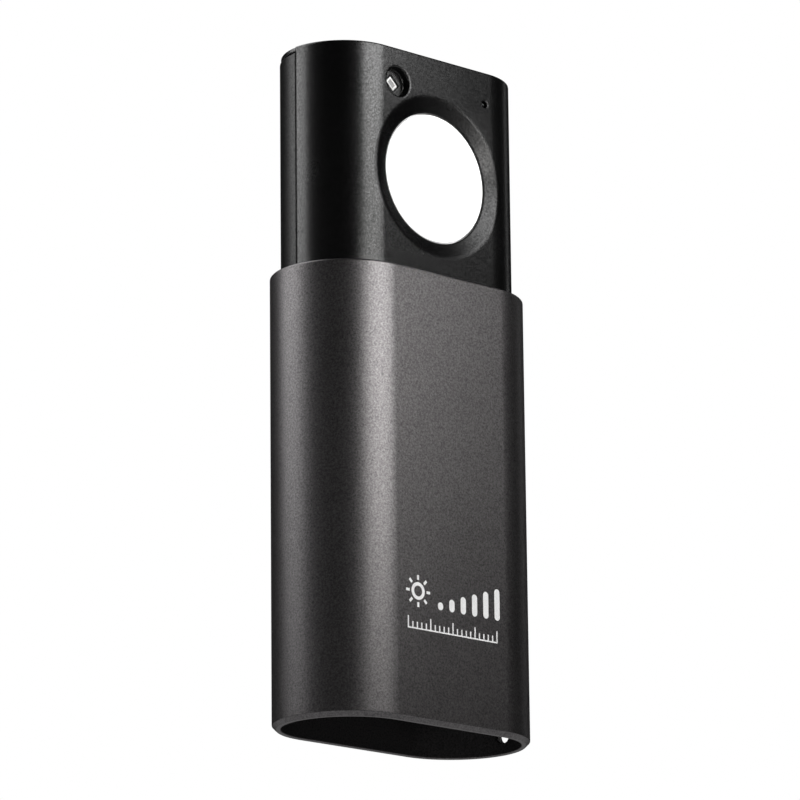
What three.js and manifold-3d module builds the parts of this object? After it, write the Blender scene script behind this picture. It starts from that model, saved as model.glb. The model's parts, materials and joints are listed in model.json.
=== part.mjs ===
// Pocket light meter: a flat metering core that slides out of an oval metal sleeve.
// Millimetres, +Z up. The origin is the centre of the sleeve's lower end, and the front faces -Y.
// The core is drawn fully out. Heights inside the core are measured from the core's own lower end.

import * as THREE from 'three';
import { mergeVertices } from 'three/addons/utils/BufferGeometryUtils.js';
import Module from 'manifold-3d';

// ---- Sleeve ----
const SLEEVE_WIDTH = 34.0;
const SLEEVE_DEPTH = 17.46;
const SLEEVE_HEIGHT = 53.24;
const SLEEVE_WALL = 1.03;
const SLEEVE_BOTTOM_CHAMFER = 0.5;
const SLEEVE_TOP_CHAMFER = 0.2;
const LANYARD_HOLE_RADIUS = 1.1;
const LANYARD_HOLE_HEIGHT = 2.5;

// ---- Core casing ----
const CORE_WIDTH = 31.5;
const CORE_DEPTH = 14.7;
const CORE_LENGTH = 49.0;
const CORE_EXPOSED = 26.76;
const CORE_TRAVEL = 26.7;
const CORE_WALL = 1.4;
const CORE_EDGE = 0.3;
const FRONT_ROOF = 1.0;
const REAR_ROOF = 1.3;
const SEAM_GAP = 0.2;
const LIP_THICKNESS = 0.52;
const LIP_INSET = 0.2;
const LIP_EDGE = 0.1;
const TONGUE_THICKNESS = 0.45;
const TONGUE_REACH = 0.9;
const TONGUE_CLEARANCE = 0.15;
const TONGUE_ROOT = 0.25;
const FLOOR_TONGUE_BACK = 0.11;
const FIT_GAP = 0.05;
const POST_ROOT = 0.3;

// ---- Metering optics (x positions, and heights in the core) ----
const OPTIC_HEIGHT = 34.5;
const RECESS_RADIUS = 9.77;
const RECESS_DEPTH = 0.62;
const DIFFUSER_RADIUS = 7.76;
const DIFFUSER_SET_BACK = 0.66;
const DIFFUSER_HOLE_RADIUS = 7.9;
const DIFFUSER_FLANGE_RADIUS = 8.8;
const DIFFUSER_THICKNESS = 0.95;
const DIFFUSER_FLANGE_THICKNESS = 0.75;
const COLLAR_OUTER_RADIUS = 9.7;
const COLLAR_INNER_RADIUS = 9.0;
const CHAMBER_RADIUS = 8.4;
const CHAMBER_MOUTH_RADIUS = 7.6;
const CHAMBER_THROAT_RADIUS = 3.0;
const FLICKER_X = -6.27;
const FLICKER_HEIGHT = 44.95;
const FLICKER_BORE_RADIUS = 1.85;
const FLICKER_BORE_DEPTH = 1.0;
const FLICKER_APERTURE_RADIUS = 1.05;
const RISER_HALF = 1.6;
const RISER_FRONT = -5.15;
const PHOTODIODE_TURN_DEGREES = 45;
const PHOTODIODE_HALF = [0.55, 0.75];
const PHOTODIODE_HEIGHT = 0.95;
const PHOTODIODE_WELL_HALF = [0.3, 0.5];
const PACKAGE_WELL_DEPTH = 0.1;
const COLOUR_SENSOR_HALF = 1.2;
const COLOUR_SENSOR_WELL_HALF = 0.7;
const COLOUR_SENSOR_HEIGHT = 0.7;
const LED_X = 7.62;
const LED_HEIGHT = 45.08;
const LED_PINHOLE_RADIUS = 0.45;
const LIGHT_PIPE_RADIUS = 0.7;
const LIGHT_PIPE_SET_BACK = 0.35;
const LIGHT_PIPE_TIP_LENGTH = 0.8;
const LIGHT_PIPE_END = -2.95;
const LIGHT_PIPE_BORE_RADIUS = 0.8;
const LIGHT_PIPE_BORE_DEPTH = 1.1;
const LIGHT_PIPE_POST_RADIUS = 1.4;
const LIGHT_PIPE_POST_END = -3.4;

// ---- Main board ----
const BOARD_FRONT = -2.2;
const BOARD_THICKNESS = 1.0;
const BOARD_HALF_WIDTH = 13.3;
const BOARD_LOW = 2.2;
const BOARD_HIGH = 46.6;
const BOARD_CORNER = 3.0;
const BOARD_POST_HOLE_RADIUS = 2.1;
const BOARD_SCREW_HOLE_RADIUS = 0.95;
const MODULE_HALF_WIDTH = 4.5;
const MODULE_LOW = 6.0;
const MODULE_HIGH = 19.0;
const MODULE_THICKNESS = 0.8;
const SHIELD_HALF_WIDTH = 4.1;
const SHIELD_LOW = 9.6;
const SHIELD_HIGH = 18.6;
const SHIELD_HEIGHT = 1.4;
const SHIELD_METAL = 0.2;
const ANTENNA_HALF_WIDTH = 3.0;
const ANTENNA_LOW = 6.6;
const ANTENNA_HIGH = 8.4;
const ANTENNA_HEIGHT = 1.0;
const LED_BASE_HALF = [0.8, 0.4];
const LED_LENS_HALF_WIDTH = 0.5;
const LED_BASE_HEIGHT = 0.25;
const LED_HEIGHT_OFF_BOARD = 0.55;

// ---- Battery bay ----
const CELL_RADIUS = 10.0;
const CELL_THICKNESS = 3.2;
const CELL_FRONT = 0.5;
const BAY_OUTER_RADIUS = 12.4;
const BAY_FRONT = 0.6;
const BAY_BORE_RADIUS = 10.45;
const LUG_GROOVE_RADIUS = 11.35;
const LUG_GROOVE_FRONT = 3.9;
const BAY_RIM_FRONT = 4.0;
const CONTACT_SLOT_HALF_WIDTH = 2.3;
const CONTACT_THICKNESS = 0.2;
const CONTACT_FOOT = 0.15;
const NEGATIVE_CONTACT_WIDTH = 4.0;
const POSITIVE_CONTACT_WIDTH = 3.6;
const LEDGE_FRONT = 5.1;
const LEDGE_BACK = 5.8;
const CAP_RADIUS = 11.0;
const CAP_RECESS_RADIUS = 11.2;
const CAP_BACK = 6.75;
const CAP_PLUG_RADIUS = 10.2;
const CAP_NECK_RADIUS = 9.6;
const CAP_PLUG_FRONT = 4.2;
const LUG_COUNT = 3;
const LUG_REACH = 11.1;
const LUG_WIDTH = 3.4;
const LUG_FRONT = 4.3;
const LUG_CLEARANCE = 0.15;
const NOTCH_REACH = 11.18;
const NOTCH_CLEARANCE = 0.5;
const CAP_TURN_DEGREES = 45;
const COIN_SLOT_HALF_LENGTH = 7.0;
const COIN_SLOT_HALF_WIDTH = 0.9;
const COIN_SLOT_DEPTH = 0.8;
const SEAL_RADIUS = 10.02;
const SEAL_SECTION_RADIUS = 0.34;
const SEAL_Y = 5.46;

// ---- Detent springs ----
const DETENT_HEIGHT = 9.0;
const SPRING_HALF_LENGTH = 4.8;
const SPRING_THICKNESS = 0.25;
const SPRING_WIDTH = 2.4;
const SPRING_BACK_X = 15.0;
const BUMP_RADIUS = 2.0;
const BUMP_CENTRE_X = 14.2;
const POCKET_FLOOR_X = 14.8;
const POCKET_WIDTH = 3.4;
const POCKET_CLEARANCE = 0.3;
const GROOVE_WIDTH = 3.0;
const GROOVE_FLOOR_X = 16.42;
const BUMP_CLEARANCE = 0.2;

// ---- Screws ----
const CASE_SCREW_X = 7.2;
const CASE_SCREW_HEIGHTS = [3.8, 19.8];
const CASE_SCREW = { headRadius: 1.5, headHeight: 0.9, shankRadius: 0.78, length: 10.5 };
const CASE_SCREW_SEAT = 1.3;
const CASE_POST_RADIUS = 1.8;
const CASE_POST_END = -0.15;
const CASE_PILOT_RADIUS = 0.85;
const CASE_PILOT_FRONT = -5.2;
const CASE_BOSS_RADIUS = 2.3;
const CASE_BOSS_FRONT = 0.15;
const CASE_HEAD_BORE_RADIUS = 1.7;
const CASE_SHANK_BORE_RADIUS = 0.95;
const BOARD_SCREW_X = 11.5;
const BOARD_SCREW_HEIGHTS = [20.0, 44.5];
const BOARD_SCREW = { headRadius: 1.4, headHeight: 0.7, shankRadius: 0.65, length: 3.2 };
const BOARD_POST_RADIUS = 1.6;
const BOARD_PILOT_RADIUS = 0.75;
const BOARD_PILOT_DEPTH = 2.4;

// ---- Values worked out from the ones above ----
const CORE_BASE = SLEEVE_HEIGHT + CORE_EXPOSED - CORE_LENGTH;
const CORE_HALF_WIDTH = CORE_WIDTH / 2;
const CORE_HALF_DEPTH = CORE_DEPTH / 2;
const CAVITY_HALF_DEPTH = CORE_HALF_DEPTH - CORE_WALL;
const CAVITY_HALF_WIDTH = CORE_HALF_WIDTH - CORE_WALL;
const FRONT_FACE = -CORE_HALF_DEPTH;
const BACK_FACE = CORE_HALF_DEPTH;
const LIP_LOW = CORE_LENGTH - LIP_THICKNESS;
const REAR_TOP = LIP_LOW - SEAM_GAP;
const BOARD_BACK = BOARD_FRONT + BOARD_THICKNESS;
const DIFFUSER_FRONT = FRONT_FACE + DIFFUSER_SET_BACK;
const DIFFUSER_BACK = DIFFUSER_FRONT + DIFFUSER_THICKNESS + DIFFUSER_FLANGE_THICKNESS;
const RECESS_SLOPE = (RECESS_RADIUS - DIFFUSER_HOLE_RADIUS) / RECESS_DEPTH;
const RIM_CHAMFER = 0.1;
const OVERCUT = 1.0;

// How many sides the round shapes are drawn with.
const BIG_ROUND = 44;
const SMALL_ROUND = 20;
const FINE_ROUND = 12;
const OVAL_SEGMENTS = 11;

const wasm = await Module();
wasm.setup();

// ---- Solids ----

function toSolid(geometry) {
  const bare = geometry.index ? geometry.toNonIndexed() : geometry.clone();
  bare.deleteAttribute('normal');
  bare.deleteAttribute('uv');
  const merged = mergeVertices(bare, 1e-5);
  return new wasm.Manifold(new wasm.Mesh({
    numProp: 3,
    vertProperties: new Float32Array(merged.attributes.position.array),
    triVerts: new Uint32Array(merged.index.array),
  }));
}

function toGeometry(solid) {
  const mesh = solid.getMesh();
  const geometry = new THREE.BufferGeometry();
  geometry.setAttribute('position', new THREE.BufferAttribute(mesh.vertProperties, 3));
  geometry.setIndex(new THREE.BufferAttribute(mesh.triVerts, 1));
  geometry.computeVertexNormals();
  return geometry;
}

function join(...solids) {
  return solids.reduce((whole, next) => whole.add(next));
}

function cut(body, ...tools) {
  return tools.reduce((whole, tool) => whole.subtract(tool), body);
}

// A box given by its two opposite corners.
function box(low, high) {
  const size = high.map((value, axis) => value - low[axis]);
  const geometry = new THREE.BoxGeometry(...size);
  geometry.translate(...high.map((value, axis) => (value + low[axis]) / 2));
  return toSolid(geometry);
}

// A round disc or cone whose axis runs front to back, from the plane y = front to y = back.
function disc(x, height, front, back, frontRadius, backRadius = frontRadius, segments = SMALL_ROUND) {
  const geometry = new THREE.CylinderGeometry(backRadius, frontRadius, back - front, segments);
  geometry.translate(x, (front + back) / 2, height);
  return toSolid(geometry);
}

// A small round hole, or the post round one.
function drill(x, height, front, back, radius) {
  return disc(x, height, front, back, radius, radius, FINE_ROUND);
}

// A large disc on the axis that the diffuser, the cell and the battery cap share.
function opticDisc(front, back, radius) {
  return disc(0, OPTIC_HEIGHT, front, back, radius, radius, BIG_ROUND);
}

// The oval outline: flat front and back, joined by half circles.
function ovalShape(halfWidth, halfDepth) {
  const flat = halfWidth - halfDepth;
  const shape = new THREE.Shape();
  shape.moveTo(-flat, -halfDepth);
  shape.lineTo(flat, -halfDepth);
  shape.absarc(flat, 0, halfDepth, -Math.PI / 2, Math.PI / 2, false);
  shape.lineTo(-flat, halfDepth);
  shape.absarc(-flat, 0, halfDepth, Math.PI / 2, (3 * Math.PI) / 2, false);
  return shape;
}

// The oval as a bar from low to high, with an optional chamfer on both end edges.
function ovalBar(halfWidth, halfDepth, low, high, chamfer = 0) {
  const geometry = new THREE.ExtrudeGeometry(ovalShape(halfWidth, halfDepth), {
    depth: high - low - 2 * chamfer,
    curveSegments: OVAL_SEGMENTS,
    bevelEnabled: chamfer > 0,
    bevelThickness: chamfer,
    bevelSize: chamfer,
    bevelOffset: -chamfer,
    bevelSegments: 1,
  });
  geometry.translate(0, 0, low + chamfer);
  return toSolid(geometry);
}

// A body turned about the front-to-back axis, from [radius, y] points that start and end on the axis
// or close on themselves.
function turned(points, segments = SMALL_ROUND) {
  const profile = points.map(([radius, y]) => new THREE.Vector2(radius, y));
  return toSolid(new THREE.LatheGeometry(profile, segments));
}

// A bent metal strip: a centre line of [height, y] points, given a thickness and a width along X.
function bentStrip(line, thickness, width) {
  const points = line.map(([height, y]) => new THREE.Vector2(height, y));
  const near = [];
  const far = [];
  points.forEach((point, i) => {
    const before = points[Math.max(i - 1, 0)];
    const after = points[Math.min(i + 1, points.length - 1)];
    const along = after.clone().sub(before).normalize();
    const across = new THREE.Vector2(-along.y, along.x).multiplyScalar(thickness / 2);
    near.push(point.clone().add(across));
    far.unshift(point.clone().sub(across));
  });
  const geometry = new THREE.ExtrudeGeometry(new THREE.Shape([...near, ...far]), {
    depth: width,
    bevelEnabled: false,
  });
  geometry.translate(0, 0, -width / 2);
  // The strip's drawing plane (height, y) and its width become Z, Y and X.
  geometry.applyMatrix4(new THREE.Matrix4().set(
    0, 0, -1, 0,
    0, 1, 0, 0,
    1, 0, 0, 0,
    0, 0, 0, 1,
  ));
  return toSolid(geometry);
}

// The same cut or boss at x and at -x, at each of the heights.
function atPairs(x, heights, make) {
  return join(...heights.flatMap((height) => [make(-x, height), make(x, height)]));
}

// ---- Sleeve ----

function sleeveShell() {
  const halfWidth = SLEEVE_WIDTH / 2;
  const halfDepth = SLEEVE_DEPTH / 2;
  const low = ovalBar(halfWidth, halfDepth, 0, SLEEVE_HEIGHT + OVERCUT, SLEEVE_BOTTOM_CHAMFER);
  const high = ovalBar(halfWidth, halfDepth, -OVERCUT, SLEEVE_HEIGHT, SLEEVE_TOP_CHAMFER);
  const bore = ovalBar(
    halfWidth - SLEEVE_WALL,
    halfDepth - SLEEVE_WALL,
    -OVERCUT,
    SLEEVE_HEIGHT + OVERCUT,
  );
  const drillLength = 6 * SLEEVE_WALL;
  const lanyard = new THREE.CylinderGeometry(
    LANYARD_HOLE_RADIUS,
    LANYARD_HOLE_RADIUS,
    drillLength,
    SMALL_ROUND,
  );
  lanyard.rotateZ(Math.PI / 2);
  lanyard.translate(halfWidth, 0, LANYARD_HOLE_HEIGHT);
  return cut(low.intersect(high), bore, toSolid(lanyard), ...[-1, 1].map(detentGroove));
}

// The groove that a detent bump runs in; its two ends stop the core at its limits.
function detentGroove(side) {
  const bumpHeight = CORE_BASE + DETENT_HEIGHT;
  const boreX = SLEEVE_WIDTH / 2 - SLEEVE_WALL;
  const bumpHalf = Math.sqrt(BUMP_RADIUS ** 2 - (boreX - BUMP_CLEARANCE - BUMP_CENTRE_X) ** 2);
  const reach = bumpHalf + BUMP_CLEARANCE;
  const xs = [side * (boreX - OVERCUT), side * GROOVE_FLOOR_X].sort((a, b) => a - b);
  return box(
    [xs[0], -GROOVE_WIDTH / 2, bumpHeight - CORE_TRAVEL - reach],
    [xs[1], GROOVE_WIDTH / 2, bumpHeight + reach],
  );
}

// ---- Core casing ----

// The pockets in the core's two sides that the detent springs sit in.
function springPockets() {
  const tall = SPRING_HALF_LENGTH + POCKET_CLEARANCE;
  return join(...[-1, 1].map((side) => {
    const xs = [side * POCKET_FLOOR_X, side * (CORE_HALF_WIDTH + OVERCUT)].sort((a, b) => a - b);
    return box(
      [xs[0], -POCKET_WIDTH / 2, DETENT_HEIGHT - tall],
      [xs[1], POCKET_WIDTH / 2, DETENT_HEIGHT + tall],
    );
  }));
}

function coreCavity(high) {
  return ovalBar(CAVITY_HALF_WIDTH, CAVITY_HALF_DEPTH, CORE_WALL, high);
}

// The tongues that stand behind the seam, so that no light gets in: one down each side, and a lower one
// along the floor.
function seamTongues() {
  const outerX = CAVITY_HALF_WIDTH - TONGUE_CLEARANCE;
  const innerX = outerX - TONGUE_THICKNESS;
  const low = CORE_WALL + TONGUE_CLEARANCE;
  const high = REAR_TOP - REAR_ROOF - TONGUE_CLEARANCE;
  const sides = [-1, 1].flatMap((side) => {
    const slab = (outer, front, back) => {
      const xs = [side * innerX, side * outer].sort((a, b) => a - b);
      return box([xs[0], front, low], [xs[1], back, high]);
    };
    return [
      slab(CAVITY_HALF_WIDTH + TONGUE_ROOT, -TONGUE_REACH, -SEAM_GAP / 2),
      slab(outerX, -TONGUE_REACH, TONGUE_REACH),
    ];
  });
  const floor = box(
    [-innerX - TONGUE_ROOT, -TONGUE_REACH, CORE_WALL - TONGUE_ROOT],
    [innerX + TONGUE_ROOT, -SEAM_GAP / 2, low + TONGUE_THICKNESS],
  );
  const floorTongue = box(
    [-innerX - TONGUE_ROOT, -TONGUE_REACH, low],
    [innerX + TONGUE_ROOT, FLOOR_TONGUE_BACK, low + TONGUE_THICKNESS],
  );
  return join(...sides, floor, floorTongue);
}

function frontHousing() {
  const bar = ovalBar(CORE_HALF_WIDTH, CORE_HALF_DEPTH, 0, CORE_LENGTH, CORE_EDGE);
  const frontHalf = bar.intersect(box(
    [-CORE_WIDTH, -CORE_DEPTH, -OVERCUT],
    [CORE_WIDTH, -SEAM_GAP / 2, CORE_LENGTH + OVERCUT],
  ));
  const lip = ovalBar(
    CORE_HALF_WIDTH - LIP_INSET,
    CORE_HALF_DEPTH - LIP_INSET,
    LIP_LOW,
    CORE_LENGTH,
    LIP_EDGE,
  );
  const shell = cut(join(frontHalf, lip), coreCavity(LIP_LOW - FRONT_ROOF));
  return cut(
    join(shell, frontPosts().intersect(bar), seamTongues()),
    recess(),
    flickerBore(),
    pipeBore(),
    atPairs(CASE_SCREW_X, CASE_SCREW_HEIGHTS, (x, height) =>
      drill(x, height, CASE_PILOT_FRONT, 0, CASE_PILOT_RADIUS)),
    atPairs(BOARD_SCREW_X, BOARD_SCREW_HEIGHTS, (x, height) =>
      drill(x, height, BOARD_FRONT - BOARD_PILOT_DEPTH, 0, BOARD_PILOT_RADIUS)),
    springPockets(),
  );
}

// What stands on the inside of the front wall: the screw posts, the collar round the diffuser's flange
// and the post that holds the light pipe.
function frontPosts() {
  const root = -CAVITY_HALF_DEPTH - POST_ROOT;
  const casePosts = atPairs(CASE_SCREW_X, CASE_SCREW_HEIGHTS, (x, height) =>
    disc(x, height, root, CASE_POST_END, CASE_POST_RADIUS));
  const boardPosts = atPairs(BOARD_SCREW_X, BOARD_SCREW_HEIGHTS, (x, height) =>
    disc(x, height, root, BOARD_FRONT - FIT_GAP, BOARD_POST_RADIUS));
  const collar = cut(
    opticDisc(root, DIFFUSER_BACK, COLLAR_OUTER_RADIUS),
    opticDisc(root - OVERCUT, DIFFUSER_BACK + OVERCUT, COLLAR_INNER_RADIUS),
  );
  const pipePost = drill(LED_X, LED_HEIGHT, root, LIGHT_PIPE_POST_END, LIGHT_PIPE_POST_RADIUS);
  return join(casePosts, boardPosts, collar, pipePost);
}

// The shallow cone in the front face, and the hole that the diffuser sits in.
function recess() {
  const cone = disc(
    0,
    OPTIC_HEIGHT,
    FRONT_FACE - OVERCUT,
    FRONT_FACE + RECESS_DEPTH,
    RECESS_RADIUS + OVERCUT * RECESS_SLOPE,
    DIFFUSER_HOLE_RADIUS,
    BIG_ROUND,
  );
  return join(cone, opticDisc(FRONT_FACE - OVERCUT, 0, DIFFUSER_HOLE_RADIUS));
}

function flickerBore() {
  return join(
    disc(
      FLICKER_X,
      FLICKER_HEIGHT,
      FRONT_FACE - OVERCUT,
      FRONT_FACE + FLICKER_BORE_DEPTH,
      FLICKER_BORE_RADIUS,
    ),
    disc(FLICKER_X, FLICKER_HEIGHT, FRONT_FACE, -CAVITY_HALF_DEPTH + OVERCUT, FLICKER_APERTURE_RADIUS),
  );
}

function pipeBore() {
  return join(
    drill(LED_X, LED_HEIGHT, FRONT_FACE - OVERCUT, BOARD_FRONT, LED_PINHOLE_RADIUS),
    drill(LED_X, LED_HEIGHT, FRONT_FACE + LIGHT_PIPE_BORE_DEPTH, BOARD_FRONT, LIGHT_PIPE_BORE_RADIUS),
  );
}

function rearCover() {
  const bar = ovalBar(CORE_HALF_WIDTH, CORE_HALF_DEPTH, 0, REAR_TOP, CORE_EDGE);
  const rearHalf = bar.intersect(box(
    [-CORE_WIDTH, SEAM_GAP / 2, -OVERCUT],
    [CORE_WIDTH, CORE_DEPTH, CORE_LENGTH],
  ));
  const shell = cut(rearHalf, coreCavity(REAR_TOP - REAR_ROOF));
  const root = CAVITY_HALF_DEPTH + POST_ROOT;
  const bosses = atPairs(CASE_SCREW_X, CASE_SCREW_HEIGHTS, (x, height) =>
    disc(x, height, CASE_BOSS_FRONT, root, CASE_BOSS_RADIUS));
  const bay = opticDisc(BAY_FRONT, root, BAY_OUTER_RADIUS);
  const backRim = opticDisc(BAY_RIM_FRONT, BACK_FACE, BAY_OUTER_RADIUS);
  const body = join(shell, join(bosses, bay, backRim).intersect(bar));

  const contactSlot = box(
    [-CONTACT_SLOT_HALF_WIDTH, BAY_FRONT - OVERCUT, OPTIC_HEIGHT - BAY_OUTER_RADIUS - OVERCUT],
    [CONTACT_SLOT_HALF_WIDTH, LUG_GROOVE_FRONT, OPTIC_HEIGHT - CELL_RADIUS + OVERCUT],
  );
  return cut(
    body,
    ...bayCuts(),
    contactSlot,
    atPairs(CASE_SCREW_X, CASE_SCREW_HEIGHTS, (x, height) => join(
      drill(x, height, BACK_FACE - CASE_SCREW_SEAT, BACK_FACE + OVERCUT, CASE_HEAD_BORE_RADIUS),
      drill(x, height, 0, BACK_FACE, CASE_SHANK_BORE_RADIUS),
    )),
    springPockets(),
  );
}

// The bay's bore, the groove that the cap's lugs turn in, the notches that let the lugs in, and the
// round recess that the cap lies in.
function bayCuts() {
  const notches = lugs(
    LUG_WIDTH + 2 * NOTCH_CLEARANCE,
    CAP_TURN_DEGREES,
    LEDGE_FRONT - NOTCH_CLEARANCE,
    LEDGE_BACK + OVERCUT,
    NOTCH_REACH,
  );
  return [
    opticDisc(BAY_FRONT - OVERCUT, BACK_FACE, BAY_BORE_RADIUS),
    opticDisc(LUG_GROOVE_FRONT, LEDGE_FRONT, LUG_GROOVE_RADIUS),
    opticDisc(LEDGE_BACK, BACK_FACE + OVERCUT, CAP_RECESS_RADIUS),
    notches,
  ];
}

// Evenly spaced bayonet lugs, as blocks trimmed to a reach, turned by an angle from the locked place.
function lugs(width, turnDegrees, front, back, reach) {
  const blockLength = 4;
  const start = Math.PI / 2 + THREE.MathUtils.degToRad(turnDegrees);
  const blocks = Array.from({ length: LUG_COUNT }, (_, i) => {
    const geometry = new THREE.BoxGeometry(blockLength, back - front, width);
    geometry.translate(reach - blockLength / 2 + OVERCUT, (front + back) / 2, 0);
    geometry.rotateY(start + (i * 2 * Math.PI) / LUG_COUNT);
    geometry.translate(0, 0, OPTIC_HEIGHT);
    return toSolid(geometry);
  });
  return join(...blocks).intersect(opticDisc(front, back, reach));
}

// ---- Metering optics ----

function diffuser() {
  const middle = DIFFUSER_FRONT + DIFFUSER_THICKNESS;
  return turned([
    [0, DIFFUSER_FRONT],
    [DIFFUSER_RADIUS - RIM_CHAMFER, DIFFUSER_FRONT],
    [DIFFUSER_RADIUS, DIFFUSER_FRONT + RIM_CHAMFER],
    [DIFFUSER_RADIUS, middle],
    [DIFFUSER_FLANGE_RADIUS, middle],
    [DIFFUSER_FLANGE_RADIUS, DIFFUSER_BACK],
    [0, DIFFUSER_BACK],
  ], BIG_ROUND);
}

function lightChamber() {
  const front = DIFFUSER_BACK + FIT_GAP;
  const back = BOARD_FRONT - FIT_GAP;
  return turned([
    [CHAMBER_RADIUS, front],
    [CHAMBER_RADIUS, back],
    [CHAMBER_THROAT_RADIUS, back],
    [CHAMBER_MOUTH_RADIUS, front],
    [CHAMBER_RADIUS, front],
  ], BIG_ROUND);
}

// A sensor package: a block between y = front and y = back with a shallow well in its front face.
function sensorPackage([halfX, halfZ], [wellHalfX, wellHalfZ], front, back) {
  return cut(
    box([-halfX, front, -halfZ], [halfX, back, halfZ]),
    box([-wellHalfX, front - OVERCUT, -wellHalfZ], [wellHalfX, front + PACKAGE_WELL_DEPTH, wellHalfZ]),
  );
}

function colourSensor() {
  const back = BOARD_FRONT - FIT_GAP;
  const half = COLOUR_SENSOR_HALF;
  const well = COLOUR_SENSOR_WELL_HALF;
  return sensorPackage([half, half], [well, well], back - COLOUR_SENSOR_HEIGHT, back);
}

function flickerRiser() {
  const half = RISER_HALF;
  return box([-half, RISER_FRONT, -half], [half, BOARD_FRONT - FIT_GAP, half]);
}

function flickerPhotodiode() {
  const back = RISER_FRONT - FIT_GAP;
  return sensorPackage(PHOTODIODE_HALF, PHOTODIODE_WELL_HALF, back - PHOTODIODE_HEIGHT, back);
}

function lightPipe() {
  const tip = FRONT_FACE + LIGHT_PIPE_SET_BACK;
  const tipRadius = LED_PINHOLE_RADIUS - FIT_GAP;
  const shoulder = tip + LIGHT_PIPE_TIP_LENGTH;
  return turned([
    [0, tip],
    [tipRadius, tip + FIT_GAP],
    [tipRadius, shoulder],
    [LIGHT_PIPE_RADIUS, shoulder],
    [LIGHT_PIPE_RADIUS, LIGHT_PIPE_END],
    [0, LIGHT_PIPE_END],
  ], FINE_ROUND);
}

// ---- Electronics ----

function mainBoard() {
  const shape = new THREE.Shape();
  const right = BOARD_HALF_WIDTH;
  const corner = BOARD_CORNER;
  shape.moveTo(-right + corner, BOARD_LOW);
  shape.lineTo(right - corner, BOARD_LOW);
  shape.absarc(right - corner, BOARD_LOW + corner, corner, -Math.PI / 2, 0, false);
  shape.lineTo(right, BOARD_HIGH - corner);
  shape.absarc(right - corner, BOARD_HIGH - corner, corner, 0, Math.PI / 2, false);
  shape.lineTo(-right + corner, BOARD_HIGH);
  shape.absarc(-right + corner, BOARD_HIGH - corner, corner, Math.PI / 2, Math.PI, false);
  shape.lineTo(-right, BOARD_LOW + corner);
  shape.absarc(-right + corner, BOARD_LOW + corner, corner, Math.PI, 1.5 * Math.PI, false);
  const geometry = new THREE.ExtrudeGeometry(shape, {
    depth: BOARD_THICKNESS,
    curveSegments: 2,
    bevelEnabled: false,
  });
  geometry.rotateX(Math.PI / 2);
  geometry.translate(0, BOARD_BACK, 0);
  const through = (radius) => (x, height) =>
    drill(x, height, BOARD_FRONT - OVERCUT, BOARD_BACK + OVERCUT, radius);
  return cut(
    toSolid(geometry),
    atPairs(CASE_SCREW_X, CASE_SCREW_HEIGHTS, through(BOARD_POST_HOLE_RADIUS)),
    atPairs(BOARD_SCREW_X, BOARD_SCREW_HEIGHTS, through(BOARD_SCREW_HOLE_RADIUS)),
  );
}

// The small radio board, which lies on the main board.
function radioModule() {
  const half = MODULE_HALF_WIDTH;
  return box(
    [-half, BOARD_BACK + FIT_GAP, MODULE_LOW],
    [half, BOARD_BACK + MODULE_THICKNESS, MODULE_HIGH],
  );
}

function radioShield() {
  const base = BOARD_BACK + MODULE_THICKNESS + FIT_GAP;
  const half = SHIELD_HALF_WIDTH;
  const inner = half - SHIELD_METAL;
  return cut(
    box([-half, base, SHIELD_LOW], [half, base + SHIELD_HEIGHT, SHIELD_HIGH]),
    box(
      [-inner, base - OVERCUT, SHIELD_LOW + SHIELD_METAL],
      [inner, base + SHIELD_HEIGHT - SHIELD_METAL, SHIELD_HIGH - SHIELD_METAL],
    ),
  );
}

function antennaChip() {
  const base = BOARD_BACK + MODULE_THICKNESS + FIT_GAP;
  const half = ANTENNA_HALF_WIDTH;
  return box([-half, base, ANTENNA_LOW], [half, base + ANTENNA_HEIGHT, ANTENNA_HIGH]);
}

function statusLed() {
  const back = BOARD_FRONT - FIT_GAP;
  const [halfX, halfZ] = LED_BASE_HALF;
  const lens = LED_LENS_HALF_WIDTH;
  return join(
    box([-halfX, back - LED_BASE_HEIGHT, -halfZ], [halfX, back, halfZ]),
    box([-lens, back - LED_HEIGHT_OFF_BOARD, -halfZ], [lens, back - LED_BASE_HEIGHT / 2, halfZ]),
  );
}

// ---- Battery ----

// The cell's smaller face, its negative cap, is at y = 0 and faces the front.
function coinCell() {
  const negativeRadius = 8.5;
  const step = 0.3;
  const edge = 0.2;
  return turned([
    [0, 0],
    [negativeRadius, 0],
    [negativeRadius, step],
    [CELL_RADIUS - 2 * step, step],
    [CELL_RADIUS, 2 * step],
    [CELL_RADIUS, CELL_THICKNESS - edge],
    [CELL_RADIUS - edge, CELL_THICKNESS],
    [0, CELL_THICKNESS],
  ], BIG_ROUND);
}

// A leaf that stands off the board and presses on the middle of the cell's front face.
function negativeContact() {
  const foot = BOARD_BACK + CONTACT_FOOT;
  const touch = CELL_FRONT - CONTACT_FOOT - CONTACT_THICKNESS / 2;
  const tip = touch - 0.45;
  return bentStrip([
    [OPTIC_HEIGHT - 7, foot],
    [OPTIC_HEIGHT - 3.5, foot],
    [OPTIC_HEIGHT + 2, touch],
    [OPTIC_HEIGHT + 4, touch],
    [OPTIC_HEIGHT + 5.5, tip],
  ], CONTACT_THICKNESS, NEGATIVE_CONTACT_WIDTH);
}

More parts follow.
